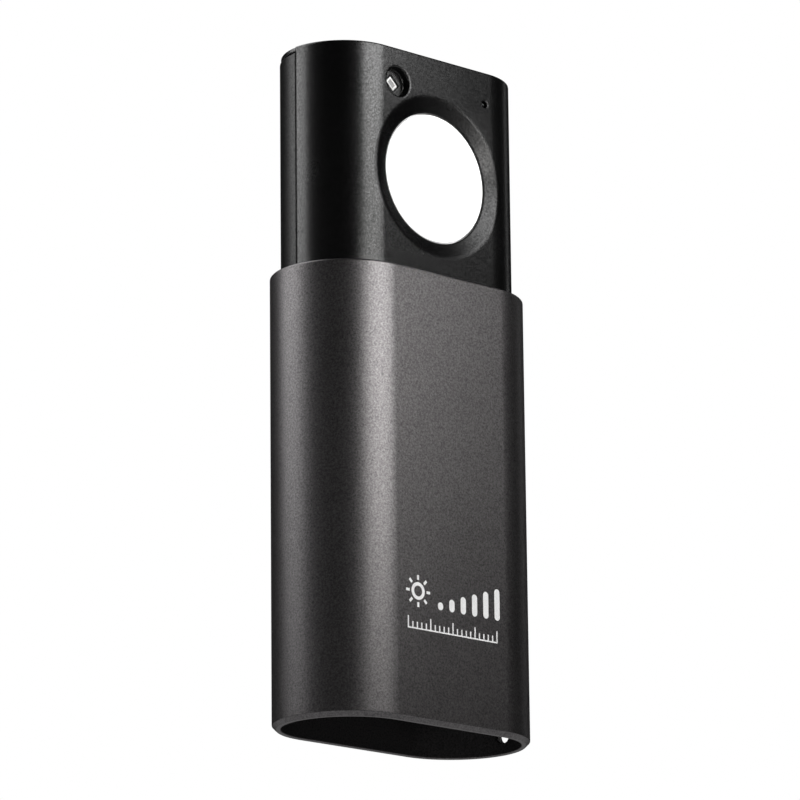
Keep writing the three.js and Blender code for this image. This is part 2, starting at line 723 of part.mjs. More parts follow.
// A leaf that comes up beside the bay and presses on the rim of the cell.
function positiveContact() {
  const foot = BOARD_BACK + CONTACT_FOOT;
  const rise = OPTIC_HEIGHT - BAY_OUTER_RADIUS - 0.6;
  const touch = OPTIC_HEIGHT - CELL_RADIUS - CONTACT_FOOT - CONTACT_THICKNESS / 2;
  const shelf = 1.7;
  const end = CELL_FRONT + CELL_THICKNESS - 0.5;
  const bend = 0.4;
  return bentStrip([
    [rise - 2.2, foot],
    [rise - bend, foot],
    [rise, foot + bend],
    [rise, shelf - bend],
    [rise + bend, shelf],
    [touch - bend, shelf],
    [touch, shelf + bend],
    [touch, end],
  ], CONTACT_THICKNESS, POSITIVE_CONTACT_WIDTH);
}

function batteryCap() {
  const neckFront = LEDGE_FRONT - FIT_GAP;
  const discFront = LEDGE_BACK + 2 * FIT_GAP;
  const edge = 2 * RIM_CHAMFER;
  const body = turned([
    [0, CAP_PLUG_FRONT],
    [CAP_PLUG_RADIUS, CAP_PLUG_FRONT],
    [CAP_PLUG_RADIUS, neckFront],
    [CAP_NECK_RADIUS, neckFront],
    [CAP_NECK_RADIUS, discFront],
    [CAP_RADIUS, discFront],
    [CAP_RADIUS, CAP_BACK - edge],
    [CAP_RADIUS - edge, CAP_BACK],
    [0, CAP_BACK],
  ], BIG_ROUND);
  const placed = body.translate([0, 0, OPTIC_HEIGHT]);
  const coinSlot = box(
    [-COIN_SLOT_HALF_LENGTH, CAP_BACK - COIN_SLOT_DEPTH, OPTIC_HEIGHT - COIN_SLOT_HALF_WIDTH],
    [COIN_SLOT_HALF_LENGTH, CAP_BACK + OVERCUT, OPTIC_HEIGHT + COIN_SLOT_HALF_WIDTH],
  );
  const bayonet = lugs(LUG_WIDTH, 0, LUG_FRONT, LEDGE_FRONT - LUG_CLEARANCE, LUG_REACH);
  return cut(join(placed, bayonet), coinSlot);
}

function capSeal() {
  const geometry = new THREE.TorusGeometry(SEAL_RADIUS, SEAL_SECTION_RADIUS, 6, BIG_ROUND);
  geometry.rotateX(Math.PI / 2);
  return toSolid(geometry);
}

// ---- Springs and screws ----

// A leaf with a round bump in its middle, drawn for the +X side.
function detentSpring(side) {
  const outer = BUMP_RADIUS;
  const inner = BUMP_RADIUS - SPRING_THICKNESS;
  const frontX = SPRING_BACK_X + SPRING_THICKNESS;
  const outerAngle = Math.acos((frontX - BUMP_CENTRE_X) / outer);
  const innerAngle = Math.acos((SPRING_BACK_X - BUMP_CENTRE_X) / inner);
  const shape = new THREE.Shape();
  shape.moveTo(SPRING_BACK_X, -SPRING_HALF_LENGTH);
  shape.lineTo(frontX, -SPRING_HALF_LENGTH);
  shape.absarc(BUMP_CENTRE_X, 0, outer, -outerAngle, outerAngle, false);
  shape.lineTo(frontX, SPRING_HALF_LENGTH);
  shape.lineTo(SPRING_BACK_X, SPRING_HALF_LENGTH);
  shape.absarc(BUMP_CENTRE_X, 0, inner, innerAngle, -innerAngle, true);
  const geometry = new THREE.ExtrudeGeometry(shape, {
    depth: SPRING_WIDTH,
    curveSegments: 5,
    bevelEnabled: false,
  });
  geometry.translate(0, 0, -SPRING_WIDTH / 2);
  geometry.rotateX(Math.PI / 2);
  if (side < 0) geometry.rotateZ(Math.PI);
  return toSolid(geometry);
}

// A pan-head screw whose head's underside is at y = 0 and whose shank points to the front.
function screw({ headRadius, headHeight, shankRadius, length }) {
  const tipRadius = shankRadius * 0.6;
  const tipLength = 0.5;
  const crownRadius = headRadius * 0.8;
  const crownBase = headHeight * 0.6;
  const body = turned([
    [0, -length],
    [tipRadius, -length],
    [shankRadius, -length + tipLength],
    [shankRadius, 0],
    [headRadius, 0],
    [headRadius, crownBase],
    [crownRadius, headHeight],
    [0, headHeight],
  ], FINE_ROUND);
  const arm = headRadius * 0.6;
  const slot = headRadius * 0.14;
  const floor = headHeight * 0.4;
  return cut(
    body,
    box([-arm, floor, -slot], [arm, headHeight + OVERCUT, slot]),
    box([-slot, floor, -arm], [slot, headHeight + OVERCUT, arm]),
  );
}

// ---- Materials ----

function finish(color, roughness, metalness) {
  return new THREE.MeshStandardMaterial({ color, roughness, metalness });
}

const anodised = finish(0x4a4749, 0.45, 0.85);
const satinBlack = finish(0x161617, 0.42, 0.0);
const capBlack = finish(0x1b1b1c, 0.5, 0.0);
const opal = finish(0xf7f7f5, 0.35, 0.0);
const whiteAbs = finish(0xe9e9e6, 0.5, 0.0);
const ceramic = finish(0xe2e3e0, 0.4, 0.0);
const laminate = finish(0x14402a, 0.45, 0.0);
const moduleBlue = finish(0x15294a, 0.45, 0.0);
const clearAcrylic = finish(0xdfe6ea, 0.1, 0.0);
const rubber = finish(0x202020, 0.8, 0.0);
const springSteel = finish(0xb9bab8, 0.3, 1.0);
const nickel = finish(0xc9c8c2, 0.25, 1.0);
const blackSteel = finish(0x2a2a2c, 0.4, 0.9);

// ---- Assembly ----

function piece(name, solid, material, position = [0, 0, 0]) {
  const mesh = new THREE.Mesh(toGeometry(solid), material);
  mesh.name = name;
  mesh.position.set(...position);
  return mesh;
}

const meter = new THREE.Group();
meter.add(piece('sleeve_shell', sleeveShell(), anodised));

const core = new THREE.Group();
core.position.z = CORE_BASE;
meter.add(core);

core.add(
  piece('front_housing', frontHousing(), satinBlack),
  piece('rear_cover', rearCover(), satinBlack),
  piece('diffuser', diffuser(), opal, [0, 0, OPTIC_HEIGHT]),
  piece('light_chamber', lightChamber(), whiteAbs, [0, 0, OPTIC_HEIGHT]),
  piece('colour_sensor', colourSensor(), ceramic, [0, 0, OPTIC_HEIGHT]),
  piece('flicker_riser', flickerRiser(), laminate, [FLICKER_X, 0, FLICKER_HEIGHT]),
  piece('light_pipe', lightPipe(), clearAcrylic, [LED_X, 0, LED_HEIGHT]),
  piece('status_led', statusLed(), ceramic, [LED_X, 0, LED_HEIGHT]),
  piece('main_board', mainBoard(), laminate),
  piece('radio_module', radioModule(), moduleBlue),
  piece('radio_shield', radioShield(), nickel),
  piece('antenna_chip', antennaChip(), ceramic),
  piece('coin_cell', coinCell(), nickel, [0, CELL_FRONT, OPTIC_HEIGHT]),
  piece('battery_contact_negative', negativeContact(), nickel),
  piece('battery_contact_positive', positiveContact(), nickel),
  piece('battery_cap', batteryCap(), capBlack),
  piece('battery_cap_seal', capSeal(), rubber, [0, SEAL_Y, OPTIC_HEIGHT]),
  piece('detent_spring_left', detentSpring(-1), springSteel, [0, 0, DETENT_HEIGHT]),
  piece('detent_spring_right', detentSpring(1), springSteel, [0, 0, DETENT_HEIGHT]),
);

const photodiode = piece('flicker_photodiode', flickerPhotodiode(), ceramic);
photodiode.position.set(FLICKER_X, 0, FLICKER_HEIGHT);
photodiode.rotation.y = -THREE.MathUtils.degToRad(PHOTODIODE_TURN_DEGREES);
core.add(photodiode);

function addScrews(name, x, heights, y, size) {
  heights.forEach((height, row) => [-x, x].forEach((screwX, column) => {
    core.add(piece(`${name}_${2 * row + column + 1}`, screw(size), blackSteel, [screwX, y, height]));
  }));
}

const caseScrewSeat = BACK_FACE - CASE_SCREW_SEAT + FIT_GAP;
addScrews('case_screw', CASE_SCREW_X, CASE_SCREW_HEIGHTS, caseScrewSeat, CASE_SCREW);
addScrews('board_screw', BOARD_SCREW_X, BOARD_SCREW_HEIGHTS, BOARD_BACK + FIT_GAP, BOARD_SCREW);

export default meter;
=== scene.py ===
import json
import math

import bmesh
import bpy
from mathutils import Matrix, Vector


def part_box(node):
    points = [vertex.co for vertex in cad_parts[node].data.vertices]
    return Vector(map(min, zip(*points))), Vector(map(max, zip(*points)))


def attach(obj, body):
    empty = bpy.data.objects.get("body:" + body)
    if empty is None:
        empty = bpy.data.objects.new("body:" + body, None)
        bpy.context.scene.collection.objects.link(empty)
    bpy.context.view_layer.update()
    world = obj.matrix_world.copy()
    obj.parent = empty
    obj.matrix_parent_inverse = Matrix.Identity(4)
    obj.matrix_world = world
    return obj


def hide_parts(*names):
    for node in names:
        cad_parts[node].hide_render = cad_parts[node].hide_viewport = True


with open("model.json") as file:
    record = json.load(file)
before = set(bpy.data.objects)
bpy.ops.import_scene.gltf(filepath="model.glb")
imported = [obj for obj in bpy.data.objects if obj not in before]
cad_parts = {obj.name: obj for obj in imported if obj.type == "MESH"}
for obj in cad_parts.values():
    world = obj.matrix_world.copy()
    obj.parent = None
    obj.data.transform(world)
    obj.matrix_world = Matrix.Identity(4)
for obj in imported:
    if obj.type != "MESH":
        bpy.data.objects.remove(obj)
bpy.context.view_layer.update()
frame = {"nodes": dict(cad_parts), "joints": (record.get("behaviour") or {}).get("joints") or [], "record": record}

# Meshes are drawn in millimetres, in the frame's own axes, and turned into metres when each piece is
# placed. X runs to the right seen from the front, Y from the front to the back, and Z up.
MM = 0.001

# How finely round shapes are drawn: steps round each end of an oval, round circles and round ends of
# falling size, and in rounded edges.
OVAL_STEPS = 44
ROUND_STEPS = 128
BORE_STEPS = 64
SMALL_STEPS = 48
FINE_STEPS = 32
SCREW_STEPS = 24
SLOT_STEPS = 16
PRINT_STEPS = 10
RIM_STEPS = 6
EDGE_STEPS = 4

# Faces that meet at more than this angle are shaded with a sharp edge.
SHARP_ANGLE = math.radians(28)


def span(node):
    """The lowest and highest corners of a CAD node, in millimetres."""
    low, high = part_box(node)
    return low / MM, high / MM


def middle(node):
    low, high = span(node)
    return (low + high) / 2


# ---- Sizes taken from the frame, in millimetres ----

SLEEVE = span("sleeve_shell")[1]
SLEEVE_FLAT = SLEEVE.x - SLEEVE.y
CORE_LOW = span("front_housing")[0].z
CORE_TOP = span("front_housing")[1].z
CORE_RADIUS = -span("front_housing")[0].y
CORE_FLAT = span("front_housing")[1].x - CORE_RADIUS
CORE_FACE = -CORE_RADIUS
REAR_TOP = span("rear_cover")[1].z
OPTIC_Z = middle("diffuser").z
DIFFUSER_FRONT = span("diffuser")[0].y
DIFFUSER_BACK = span("diffuser")[1].y
FLICKER = middle("flicker_photodiode")
PIPE = middle("light_pipe")
CAP_FRONT = span("battery_cap")[0].y
CAP_BACK = span("battery_cap")[1].y
BOARD_FRONT = span("main_board")[0].y

# ---- Sizes of the finer features, in millimetres ----

# How far a cutting tool reaches past the surface that it cuts.
PAST = 1.0
SIDES = (-1, 1)

# Sleeve: its wall, the bevels of its cut ends and how softly they start.
SLEEVE_WALL = 1.03
FOOT_BEVEL = 0.5
TOP_BEVEL = 0.18
MOUTH_BEVEL = 0.14
INNER_FOOT_BEVEL = 0.1
BEVEL_BLEND = 0.07
LANYARD_RADIUS = 1.1
LANYARD_Z = 2.5
LANYARD_FLARE = 0.14
LANYARD_LEAD = 0.04

# Grooves inside the sleeve that the detent springs run in.
GROOVE_HALF_WIDTH = 1.5
GROOVE_HALF_HEIGHT = 1.4
GROOVE_GAP = 0.2
GROOVE_LEAD = 0.5
GROOVE_EDGE = 0.1

# Core casing: walls, rounded ends, the seam between its halves and the lip over the rear half.
CORE_WALL = 1.4
CASING_FOOT_EDGE = 0.3
CASING_TOP_EDGE = 0.14
FRONT_ROOF = 1.0
REAR_ROOF = 1.3
SEAM = 0.09
LIP = 0.52
LIP_INSET = 0.14

# Ribs behind the seam, and the slots in the rear cover's roof that take their upper ends.
RIB_GAP = 0.15
RIB_THICKNESS = 0.45
RIB_REACH = 0.9
RIB_ROOT = 0.25
RIB_LIP_ROOT = 0.2
FLOOR_RIB_REACH = 0.11
FLOOR_RIB_ROOT = 0.4
NOTCH_DEPTH = 2.0

# Posts on the inside of the front casing.
POST_ROOT = 0.6
POST_TRIM = 0.5
CASE_POST_RADIUS = 1.8
CASE_POST_GAP = 0.15
CASE_PILOT_RADIUS = 0.85
CASE_PILOT_FRONT = -5.2
BOARD_POST_RADIUS = 1.6
BOARD_POST_GAP = 0.05
BOARD_PILOT_RADIUS = 0.75
BOARD_PILOT_DEPTH = 2.4
PIPE_POST_RADIUS = 1.4
PIPE_POST_GAP = 1.2
COLLAR_INNER = 9.0
COLLAR_OUTER = 9.7

# Diffuser and the shallow recess round it.
DIFFUSER_RADIUS = 7.69
DIFFUSER_HOLE = 7.84
DIFFUSER_FLANGE_RADIUS = 8.8
DIFFUSER_FLANGE = 0.75
RECESS_RADIUS = 9.72
RECESS_DEPTH = 0.62
RECESS_BLEND = 0.3
RECESS_SLOPE = RECESS_DEPTH / (RECESS_RADIUS - DIFFUSER_HOLE)
RECESS_RINGS = (0.8, 1.3)
RECESS_LIFT = 0.003
RECESS_CLEARANCE = 1.5

# The diffuser's rounded front edge: (inset, depth) from its outline and its face.
DIFFUSER_EDGE = ((0.12, 0), (0.03, 0.04), (0, 0.14))

# Flicker sensor: its bore, the opening behind the bore, and half sizes of its parts.
FLICKER_RADIUS = 1.72
FLICKER_DEPTH = 1.0
FLICKER_RIM = 0.26
MOUTH_START = 265
RIM_MARGIN = 0.5
SENSOR_TURN = -45
OPENING_HALF = (0.6, 0.8)
OPENING_GAP = 3.0
SENSOR_HALF = (0.55, 0.75)
HOLLOW_HALF = (0.3, 0.5)
HOLLOW_DEPTH = 0.1
DIE_HALF = (0.28, 0.48)
DIE_FRONT, DIE_BACK = 0.05, 0.12
SENSOR_EDGE = 0.05
DIE_EDGE = 0.02

# Indicator: the pinhole, and the light pipe that stands in it. The flat on the pipe's tip is a share of
# the tip's radius.
PINHOLE_RADIUS = 0.4
PINHOLE_RIM = 0.08
PINHOLE_DEPTH = 1.1
PIPE_BORE_RADIUS = 0.8
PIPE_RADIUS = 0.7
PIPE_TIP_GAP = 0.06
PIPE_TIP_FLAT = 0.6
PIPE_TIP_EDGE = 0.2
PIPE_TIP_LENGTH = 0.8

# Pockets in the casing's sides that hold the detent springs.
POCKET_FLOOR_GAP = 0.2
POCKET_HALF_WIDTH = 1.7
POCKET_END_GAP = 0.3

# Rear cover: the ring of solid wall round the cell, screw bosses and the contact's slot.
BAY_RADIUS = 12.4
BAY_FRONT = 0.6
BOSS_RADIUS = 2.3
BOSS_FRONT = 0.15
SCREW_HEAD_RADIUS = 1.7
SCREW_HEAD_DEPTH = 1.3
SCREW_SHANK_RADIUS = 0.95
CONTACT_SLOT_HALF = 2.3
CONTACT_SLOT_BACK = 3.9
CONTACT_SLOT_LOW, CONTACT_SLOT_HIGH = -12.6, -9.2

# The cell's bore, the groove that the cap's lugs turn in, and the recess that the cap lies in.
CELL_BORE_RADIUS = 10.45
CELL_BORE_FRONT = -0.5
LUG_GROOVE_RADIUS = 11.35
LUG_GROOVE_FRONT, LUG_GROOVE_BACK = 3.9, 5.1
LEDGE_BACK = 5.8
CAP_RECESS = 11.2
CAP_RECESS_BEVEL = 0.15

# The cap's lugs, and the notches that they enter by when the cap is turned.
LUG_COUNT = 3
LUG_ROOT, LUG_END = 8.6, 12.6
LUG_FRONT, LUG_BACK = 4.3, 4.95
LUG_REACH = 11.1
LUG_WIDTH = 3.4
ENTRY_FRONT = 4.6
ENTRY_REACH = 11.18
ENTRY_WIDTH = 4.4
ENTRY_TURN = 45

# Battery cap: plug, seal groove, rounded rim, the ring in its face, coin slot and pointer.
CAP_RADIUS = 11.0
CAP_RIM = 0.22
CAP_RIM_MIDDLE = (0.06, 0.09)
CAP_UNDER_EDGE = 0.05
PLUG_RADIUS = 10.2
PLUG_EDGE = 0.1
SEAL_GROOVE_RADIUS = 9.6
SEAL_GROOVE_FRONT, SEAL_GROOVE_BACK = 5.05, 5.9
FACE_RING_INNER, FACE_RING_OUTER = 9.14, 9.5
FACE_RING_SIDE = 0.08
SUNK = 0.12
SLOT_HALF_LENGTH = 6.2
SLOT_RADIUS = 0.85
SLOT_DEPTH = 0.75
POINTER_TIP = 7.9
POINTER_SIZE = 0.9
POINTER_HALF_WIDTH = 0.54

# Button cell: (radius, height above its front face) up to the rim of its can, then its rounded back.
CELL_FACE = ((8.4, 0), (8.6, 0.08), (8.65, 0.28), (9.4, 0.3), (9.8, 0.42))
CELL_SHOULDER = 0.75
CELL_BACK_EDGE = 0.25
CELL_BACK_MIDDLE = (0.08, 0.07)

# Seal ring: how much of the frame's thickness its section fills.
SEAL_FILL = 0.98
SEAL_STEPS = 16

# Printed mark, in millimetres from the sleeve's middle and foot.
PRINT_RISE = 0.012
PRINT_ROOT = 0.02
SUN = Vector((-5.35, 15.05))
SUN_INNER, SUN_OUTER = 0.62, 1.02
RAY_COUNT = 8
RAY_START, RAY_END = 1.3, 1.85
RAY_HALF_WIDTH = 0.16
BAR_COUNT = 6
BAR_X, BAR_PITCH = -1.9, 1.78
BAR_FOOT = 13.3
BAR_TOP, BAR_RISE = 14.2, 0.56
BAR_WIDTH = 0.82
SCALE_HALF = 7.0
SCALE_FOOT, SCALE_TOP = 10.62, 10.78
TICK_COUNT = 21
TICK_HALF_WIDTH = 0.09
LONG_TICK_EVERY = 5
SHORT_TICK_TOP, LONG_TICK_TOP = 11.45, 12.05


# ---- Mesh tools ----

# Radii closer than this count as the same, in millimetres.
SAME = 1e-6

# The most of an outline's side that the curve at one of its corners takes up.
LONGEST_CURVE = 0.45

# How near a curved wall a point has to lie to take the wall's normal, in millimetres, and how nearly
# that normal has to agree with its face, as a cosine.
ON_WALL = 0.012
NEAR_FACE = 0.95

# A face whose normal leans up or down by less than this belongs to an upright wall.
UPRIGHT = 0.01

# The recess's faces look at least this much to the front, and their points lie this near its surface.
# Its slope is measured over this step, in millimetres.
RECESS_FACING = -0.5
ON_RECESS = 0.008
SLOPE_STEP = 0.02


def new_object(name, bm):
    bmesh.ops.recalc_face_normals(bm, faces=bm.faces)
    mesh = bpy.data.meshes.new(name)
    bm.to_mesh(mesh)
    bm.free()
    obj = bpy.data.objects.new(name, mesh)
    bpy.context.scene.collection.objects.link(obj)
    return obj


def arc(x, y, radius, start, end, steps):
    """Points on an arc, angles in degrees, both ends included."""
    turns = [math.radians(start + (end - start) * i / steps) for i in range(steps + 1)]
    return [(x + radius * math.cos(t), y + radius * math.sin(t)) for t in turns]


def circle(x, y, radius, steps):
    return arc(x, y, radius, 0, 360, steps)[:-1]


def oval(flat, front, back):
    """The oval seen from above: flat sides joined by arcs, whose radius may differ front and back."""
    quarter = OVAL_STEPS // 2
    skip = 1 if abs(front - back) < SAME else 0
    right = arc(flat, 0, front, -90, 0, quarter) + arc(flat, 0, back, 0, 90, quarter)[skip:]
    left = arc(-flat, 0, back, 90, 180, quarter) + arc(-flat, 0, front, 180, 270, quarter)[skip:]
    return right + left


def soften(corners, radius):
    """Rounds every corner of a closed outline with a short curve."""
    points = []
    for i, corner in enumerate(corners):
        here = Vector(corner)
        before = Vector(corners[i - 1])
        after = Vector(corners[(i + 1) % len(corners)])
        back = min(radius, (before - here).length * LONGEST_CURVE)
        ahead = min(radius, (after - here).length * LONGEST_CURVE)
        start = here + (before - here).normalized() * back
        end = here + (after - here).normalized() * ahead
        for step in range(EDGE_STEPS + 1):
            t = step / EDGE_STEPS
            points.append(tuple(start * (1 - t) ** 2 + here * 2 * t * (1 - t) + end * t * t))
    return points


def rings_to_mesh(name, rings, closed):
    """Joins equal rings of points with quads. An open stack is capped, a closed one meets itself."""
    bm = bmesh.new()
    rows = [[bm.verts.new(point) for point in ring] for ring in rings]
    pairs = list(zip(rows, rows[1:] + rows[:1])) if closed else list(zip(rows, rows[1:]))
    for low, high in pairs:
        for i in range(len(low)):
            j = (i + 1) % len(low)
            bm.faces.new((low[i], low[j], high[j], high[i]))
    if not closed:
        bm.faces.new(reversed(rows[0]))
        bm.faces.new(rows[-1])
    return new_object(name, bm)


def oval_bar(name, flat, front, back, low, high, low_edge=0.0, high_edge=0.0):
    """An upright oval bar with rounded end edges."""
    ends = []
    for z, inward, edge in ((low, 1, low_edge), (high, -1, high_edge)):
        quarter = arc(edge, edge, edge, 270, 180, EDGE_STEPS) if edge else [(0, 0)]
        steps = [(inset, z + inward * rise) for inset, rise in quarter]
        ends += steps if inward > 0 else reversed(steps)
    rings = []
    for inset, z in ends:
        rings.append([(x, y, z) for x, y in oval(flat, front - inset, back - inset)])
    return rings_to_mesh(name, rings, False)


def turned(name, profile, x=0.0, z=0.0, steps=ROUND_STEPS, closed=False):
    """A body turned about a front-to-back axis, from (radius, y) points; its ends are flat."""
    rings = [[(px, y, pz) for px, pz in circle(x, z, radius, steps)] for radius, y in profile]
    return rings_to_mesh(name, rings, closed)


def disc(x, z, front, back, radius, steps=SMALL_STEPS):
    return turned("disc", [(radius, front), (radius, back)], x, z, steps)


def block(low, high, soft=0.0):
    """A box between two corners, with its edges rounded if asked."""
    bm = bmesh.new()
    bmesh.ops.create_cube(bm, size=1.0)
    size = [b - a for a, b in zip(low, high)]
    centre = [(a + b) / 2 for a, b in zip(low, high)]
    bmesh.ops.scale(bm, vec=size, verts=bm.verts)
    bmesh.ops.translate(bm, vec=centre, verts=bm.verts)
    if soft:
        bmesh.ops.bevel(bm, geom=bm.edges[:], offset=soft, segments=EDGE_STEPS, affect="EDGES")
    return new_object("block", bm)


def side_block(side, reaches, low, high, soft=0.0):
    """A box on one side, from two distances out and the (y, z) of its low and high corners."""
    near, far = sorted(side * reach for reach in reaches)
    return block((near, *low), (far, *high), soft)


def bake(obj):
    """Applies the modifiers, so that the mesh is what is seen."""
    graph = bpy.context.evaluated_depsgraph_get()
    obj.data = bpy.data.meshes.new_from_object(obj.evaluated_get(graph))
    obj.modifiers.clear()
    return obj


def boolean(body, operation, tools):
    for tool in tools:
        modifier = body.modifiers.new(operation, "BOOLEAN")
        modifier.operation = operation
        modifier.solver = "MANIFOLD"
        modifier.object = tool
        bake(body)
        bpy.data.objects.remove(tool)
    return body


def cut(body, *tools):
    return boolean(body, "DIFFERENCE", tools)


def join(body, *tools):
    return boolean(body, "UNION", tools)


def trim(body, *tools):
    return boolean(body, "INTERSECT", tools)


def turn(obj, degrees, x, z):
    """Turns a drawn mesh about a front-to-back axis through (x, z)."""
    centre = Vector((x, 0, z))
    rotation = Matrix.Rotation(math.radians(degrees), 4, "Y")
    obj.data.transform(Matrix.Translation(centre) @ rotation @ Matrix.Translation(-centre))
    return obj


def oval_normal(flat, radius, point):
    """The outward normal at a point on an upright oval wall, or nothing if the point lies elsewhere."""
    centre = max(-flat, min(flat, point.x))
    away = Vector((point.x - centre, point.y, 0))
    return away.normalized() if abs(away.length - radius) < ON_WALL else None


def exact_shading(obj, normal_at):
    """Sets known normals on curved walls, which cut-outs would otherwise leave unevenly shaded."""
    mesh = bake(obj).data
    normals = [corner.vector.copy() for corner in mesh.corner_normals]
    for polygon in mesh.polygons:
        points = [mesh.vertices[vertex].co for vertex in polygon.vertices]
        exact = [normal_at(polygon.normal, point) for point in points]
        if all(exact) and all(normal.dot(polygon.normal) > NEAR_FACE for normal in exact):
            for loop, normal in zip(polygon.loop_indices, exact):
                normals[loop] = normal
    mesh.normals_split_custom_set(normals)


def place(obj, name, body, slot, *nodes, normal_at=None, look=None):
    """Names a finished mesh, shades it, brings it to metres and puts it on its body.

    It stands for the CAD nodes given. Its look is its slot's, unless it has one of its own.
    """
    obj.name = name
    obj.data.shade_smooth()
    obj.data.set_sharp_from_angle(angle=SHARP_ANGLE)
    weighted = obj.modifiers.new("even_shading", "WEIGHTED_NORMAL")
    weighted.keep_sharp = True
    if normal_at:
        exact_shading(obj, normal_at)
    obj.data.name = name
    obj.data.transform(Matrix.Scale(MM, 4))
    obj.data.materials.clear()
    obj.data.materials.append(MATERIALS[look or slot])
    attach(obj, body)
    if nodes:
        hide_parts(*nodes)
    return obj


# ---- Materials ----

# Sizes of the grain and of the slow change in gloss, in millimetres.
GRAIN_MM = 0.22
CLOUD_MM = 6.0

# The core's edges look rounded by this much, and its recess reflects less, and so looks darker, once it is this
# deep.
SOFT_EDGE_MM = 0.3
RECESS_SHINE = 0.6
RECESS_FADE_MM = 0.03

# How finely the circuit boards' tracks are drawn, and the share of the pattern that they take up.
TRACK_SCALE = 900
TRACK_WIDTH = 0.03


class Shader:
    """A node material under construction."""

    def __init__(self, name):
        self.material = bpy.data.materials.new(name)
        self.material.use_nodes = True
        self.nodes = self.material.node_tree.nodes
        self.links = self.material.node_tree.links
        self.surface = self.nodes["Principled BSDF"]
        self.place = self.nodes.new("ShaderNodeTexCoord").outputs["Object"]

    def set(self, **inputs):
        for name, value in inputs.items():
            self.surface.inputs[name.replace("_", " ")].default_value = value

    def noise(self, size_mm, detail=2.0, roughness=0.5, stretch=(1, 1, 1)):
        """Noise with features about size_mm across, from 0 to 1."""
        mapping = self.nodes.new("ShaderNodeMapping")
        mapping.inputs["Scale"].default_value = stretch
        texture = self.nodes.new("ShaderNodeTexNoise")
        texture.inputs["Scale"].default_value = 1 / (size_mm * MM)
        texture.inputs["Detail"].default_value = detail
        texture.inputs["Roughness"].default_value = roughness
        self.links.new(self.place, mapping.inputs["Vector"])
        self.links.new(mapping.outputs["Vector"], texture.inputs["Vector"])
        return texture.outputs["Fac"]

    def spread(self, value, low, high, from_low=0.3, from_high=0.7):
        """Maps noise onto a range of numbers."""
        node = self.nodes.new("ShaderNodeMapRange")
        node.inputs["From Min"].default_value = from_low
        node.inputs["From Max"].default_value = from_high
        node.inputs["To Min"].default_value = low
        node.inputs["To Max"].default_value = high
        self.links.new(value, node.inputs["Value"])
        return node.outputs["Result"]

    def tint(self, value, dark, light):
        """Maps noise onto a mix of two colours."""
        node = self.nodes.new("ShaderNodeMix")
        node.data_type = "RGBA"
        node.inputs["A"].default_value = (*dark, 1)
        node.inputs["B"].default_value = (*light, 1)
        self.links.new(self.spread(value, 0, 1), node.inputs["Factor"])
        return node.outputs["Result"]

    def math(self, operation, first, second):
        node = self.nodes.new("ShaderNodeMath")
        node.operation = operation
        for socket, value in zip(node.inputs, (first, second)):
            if isinstance(value, (int, float)):
                socket.default_value = value
            else:
                self.links.new(value, socket)
        return node.outputs["Value"]

    def round_edges(self, radius_mm):
        """Shades edges as if they were rounded."""
        node = self.nodes.new("ShaderNodeBevel")
        node.samples = 6
        node.inputs["Radius"].default_value = radius_mm * MM
        return node.outputs["Normal"]

    def bump(self, value, depth_mm, strength=1.0, normal=None):
        node = self.nodes.new("ShaderNodeBump")
        if normal:
            self.links.new(normal, node.inputs["Normal"])
        node.inputs["Strength"].default_value = strength
        node.inputs["Distance"].default_value = depth_mm * MM
        self.links.new(value, node.inputs["Height"])
        self.links.new(node.outputs["Normal"], self.surface.inputs["Normal"])

    def feed(self, name, value):
        self.links.new(value, self.surface.inputs[name])


def anodised_metal():
    """Dark grey metal with the fine grain of bead blasting."""
    shader = Shader("anodised_sleeve")
    shader.set(Metallic=1.0)
    grain = shader.noise(GRAIN_MM, detail=3.0, roughness=0.7)
    cloud = shader.noise(9.0)
    shader.feed("Base Color", shader.tint(grain, (0.070, 0.067, 0.0685), (0.190, 0.182, 0.185)))
    shader.feed("Roughness", shader.spread(cloud, 0.37, 0.39))
    shader.bump(grain, 0.02, 0.6)
    return shader.material


def core_plastic(name, roughness, shine):
    """Black plastic with a fine spark-eroded grain, soft edges and less reflection, so a darker look, in the
    recess.
    """
    shader = Shader(name)
    shader.set(Base_Color=(0.0008, 0.0008, 0.0009, 1.0))
    grain = shader.noise(GRAIN_MM, roughness=0.6)
    cloud = shader.noise(CLOUD_MM)
    sparkle = shader.spread(grain, 0.5 * shine, 1.5 * shine)
    # The specular reflection is turned down inside the recess, which makes it darker there.
    shader.feed("Specular IOR Level", shader.math("MULTIPLY", sparkle, recess_darkening(shader)))
    shader.feed("Roughness", shader.spread(cloud, roughness - 0.01, roughness + 0.01))
    shader.bump(grain, 0.005, 0.4, shader.round_edges(SOFT_EDGE_MM))
    return shader.material


def recess_darkening(shader):
    """One outside the recess round the diffuser, and a smaller share of the shine inside it, which darkens the
    recess.
    """
    split = shader.nodes.new("ShaderNodeSeparateXYZ")
    shader.links.new(shader.place, split.inputs["Vector"])
    up = shader.math("SUBTRACT", split.outputs["Z"], OPTIC_Z * MM)
    square = shader.math("ADD", shader.math("POWER", up, 2), shader.math("POWER", split.outputs["X"], 2))
    outside = shader.math("GREATER_THAN", square, ((RECESS_RADIUS + RECESS_BLEND) * MM) ** 2)
    face = CORE_FACE * MM
    inside = shader.spread(split.outputs["Y"], 1.0, RECESS_SHINE, face, face + RECESS_FADE_MM * MM)
    return shader.math("MAXIMUM", outside, inside)


def moulded_plastic(name, colour, roughness, grain_mm=0.2, depth_mm=0.012):
    shader = Shader(name)
    grain = shader.noise(grain_mm)
    cloud = shader.noise(CLOUD_MM)
    light = tuple(min(1.0, channel * 1.25) for channel in colour)
    shader.feed("Base Color", shader.tint(grain, colour, light))
    shader.feed("Roughness", shader.spread(cloud, roughness - 0.02, roughness + 0.03))
    shader.bump(grain, depth_mm, 0.5)
    return shader.material


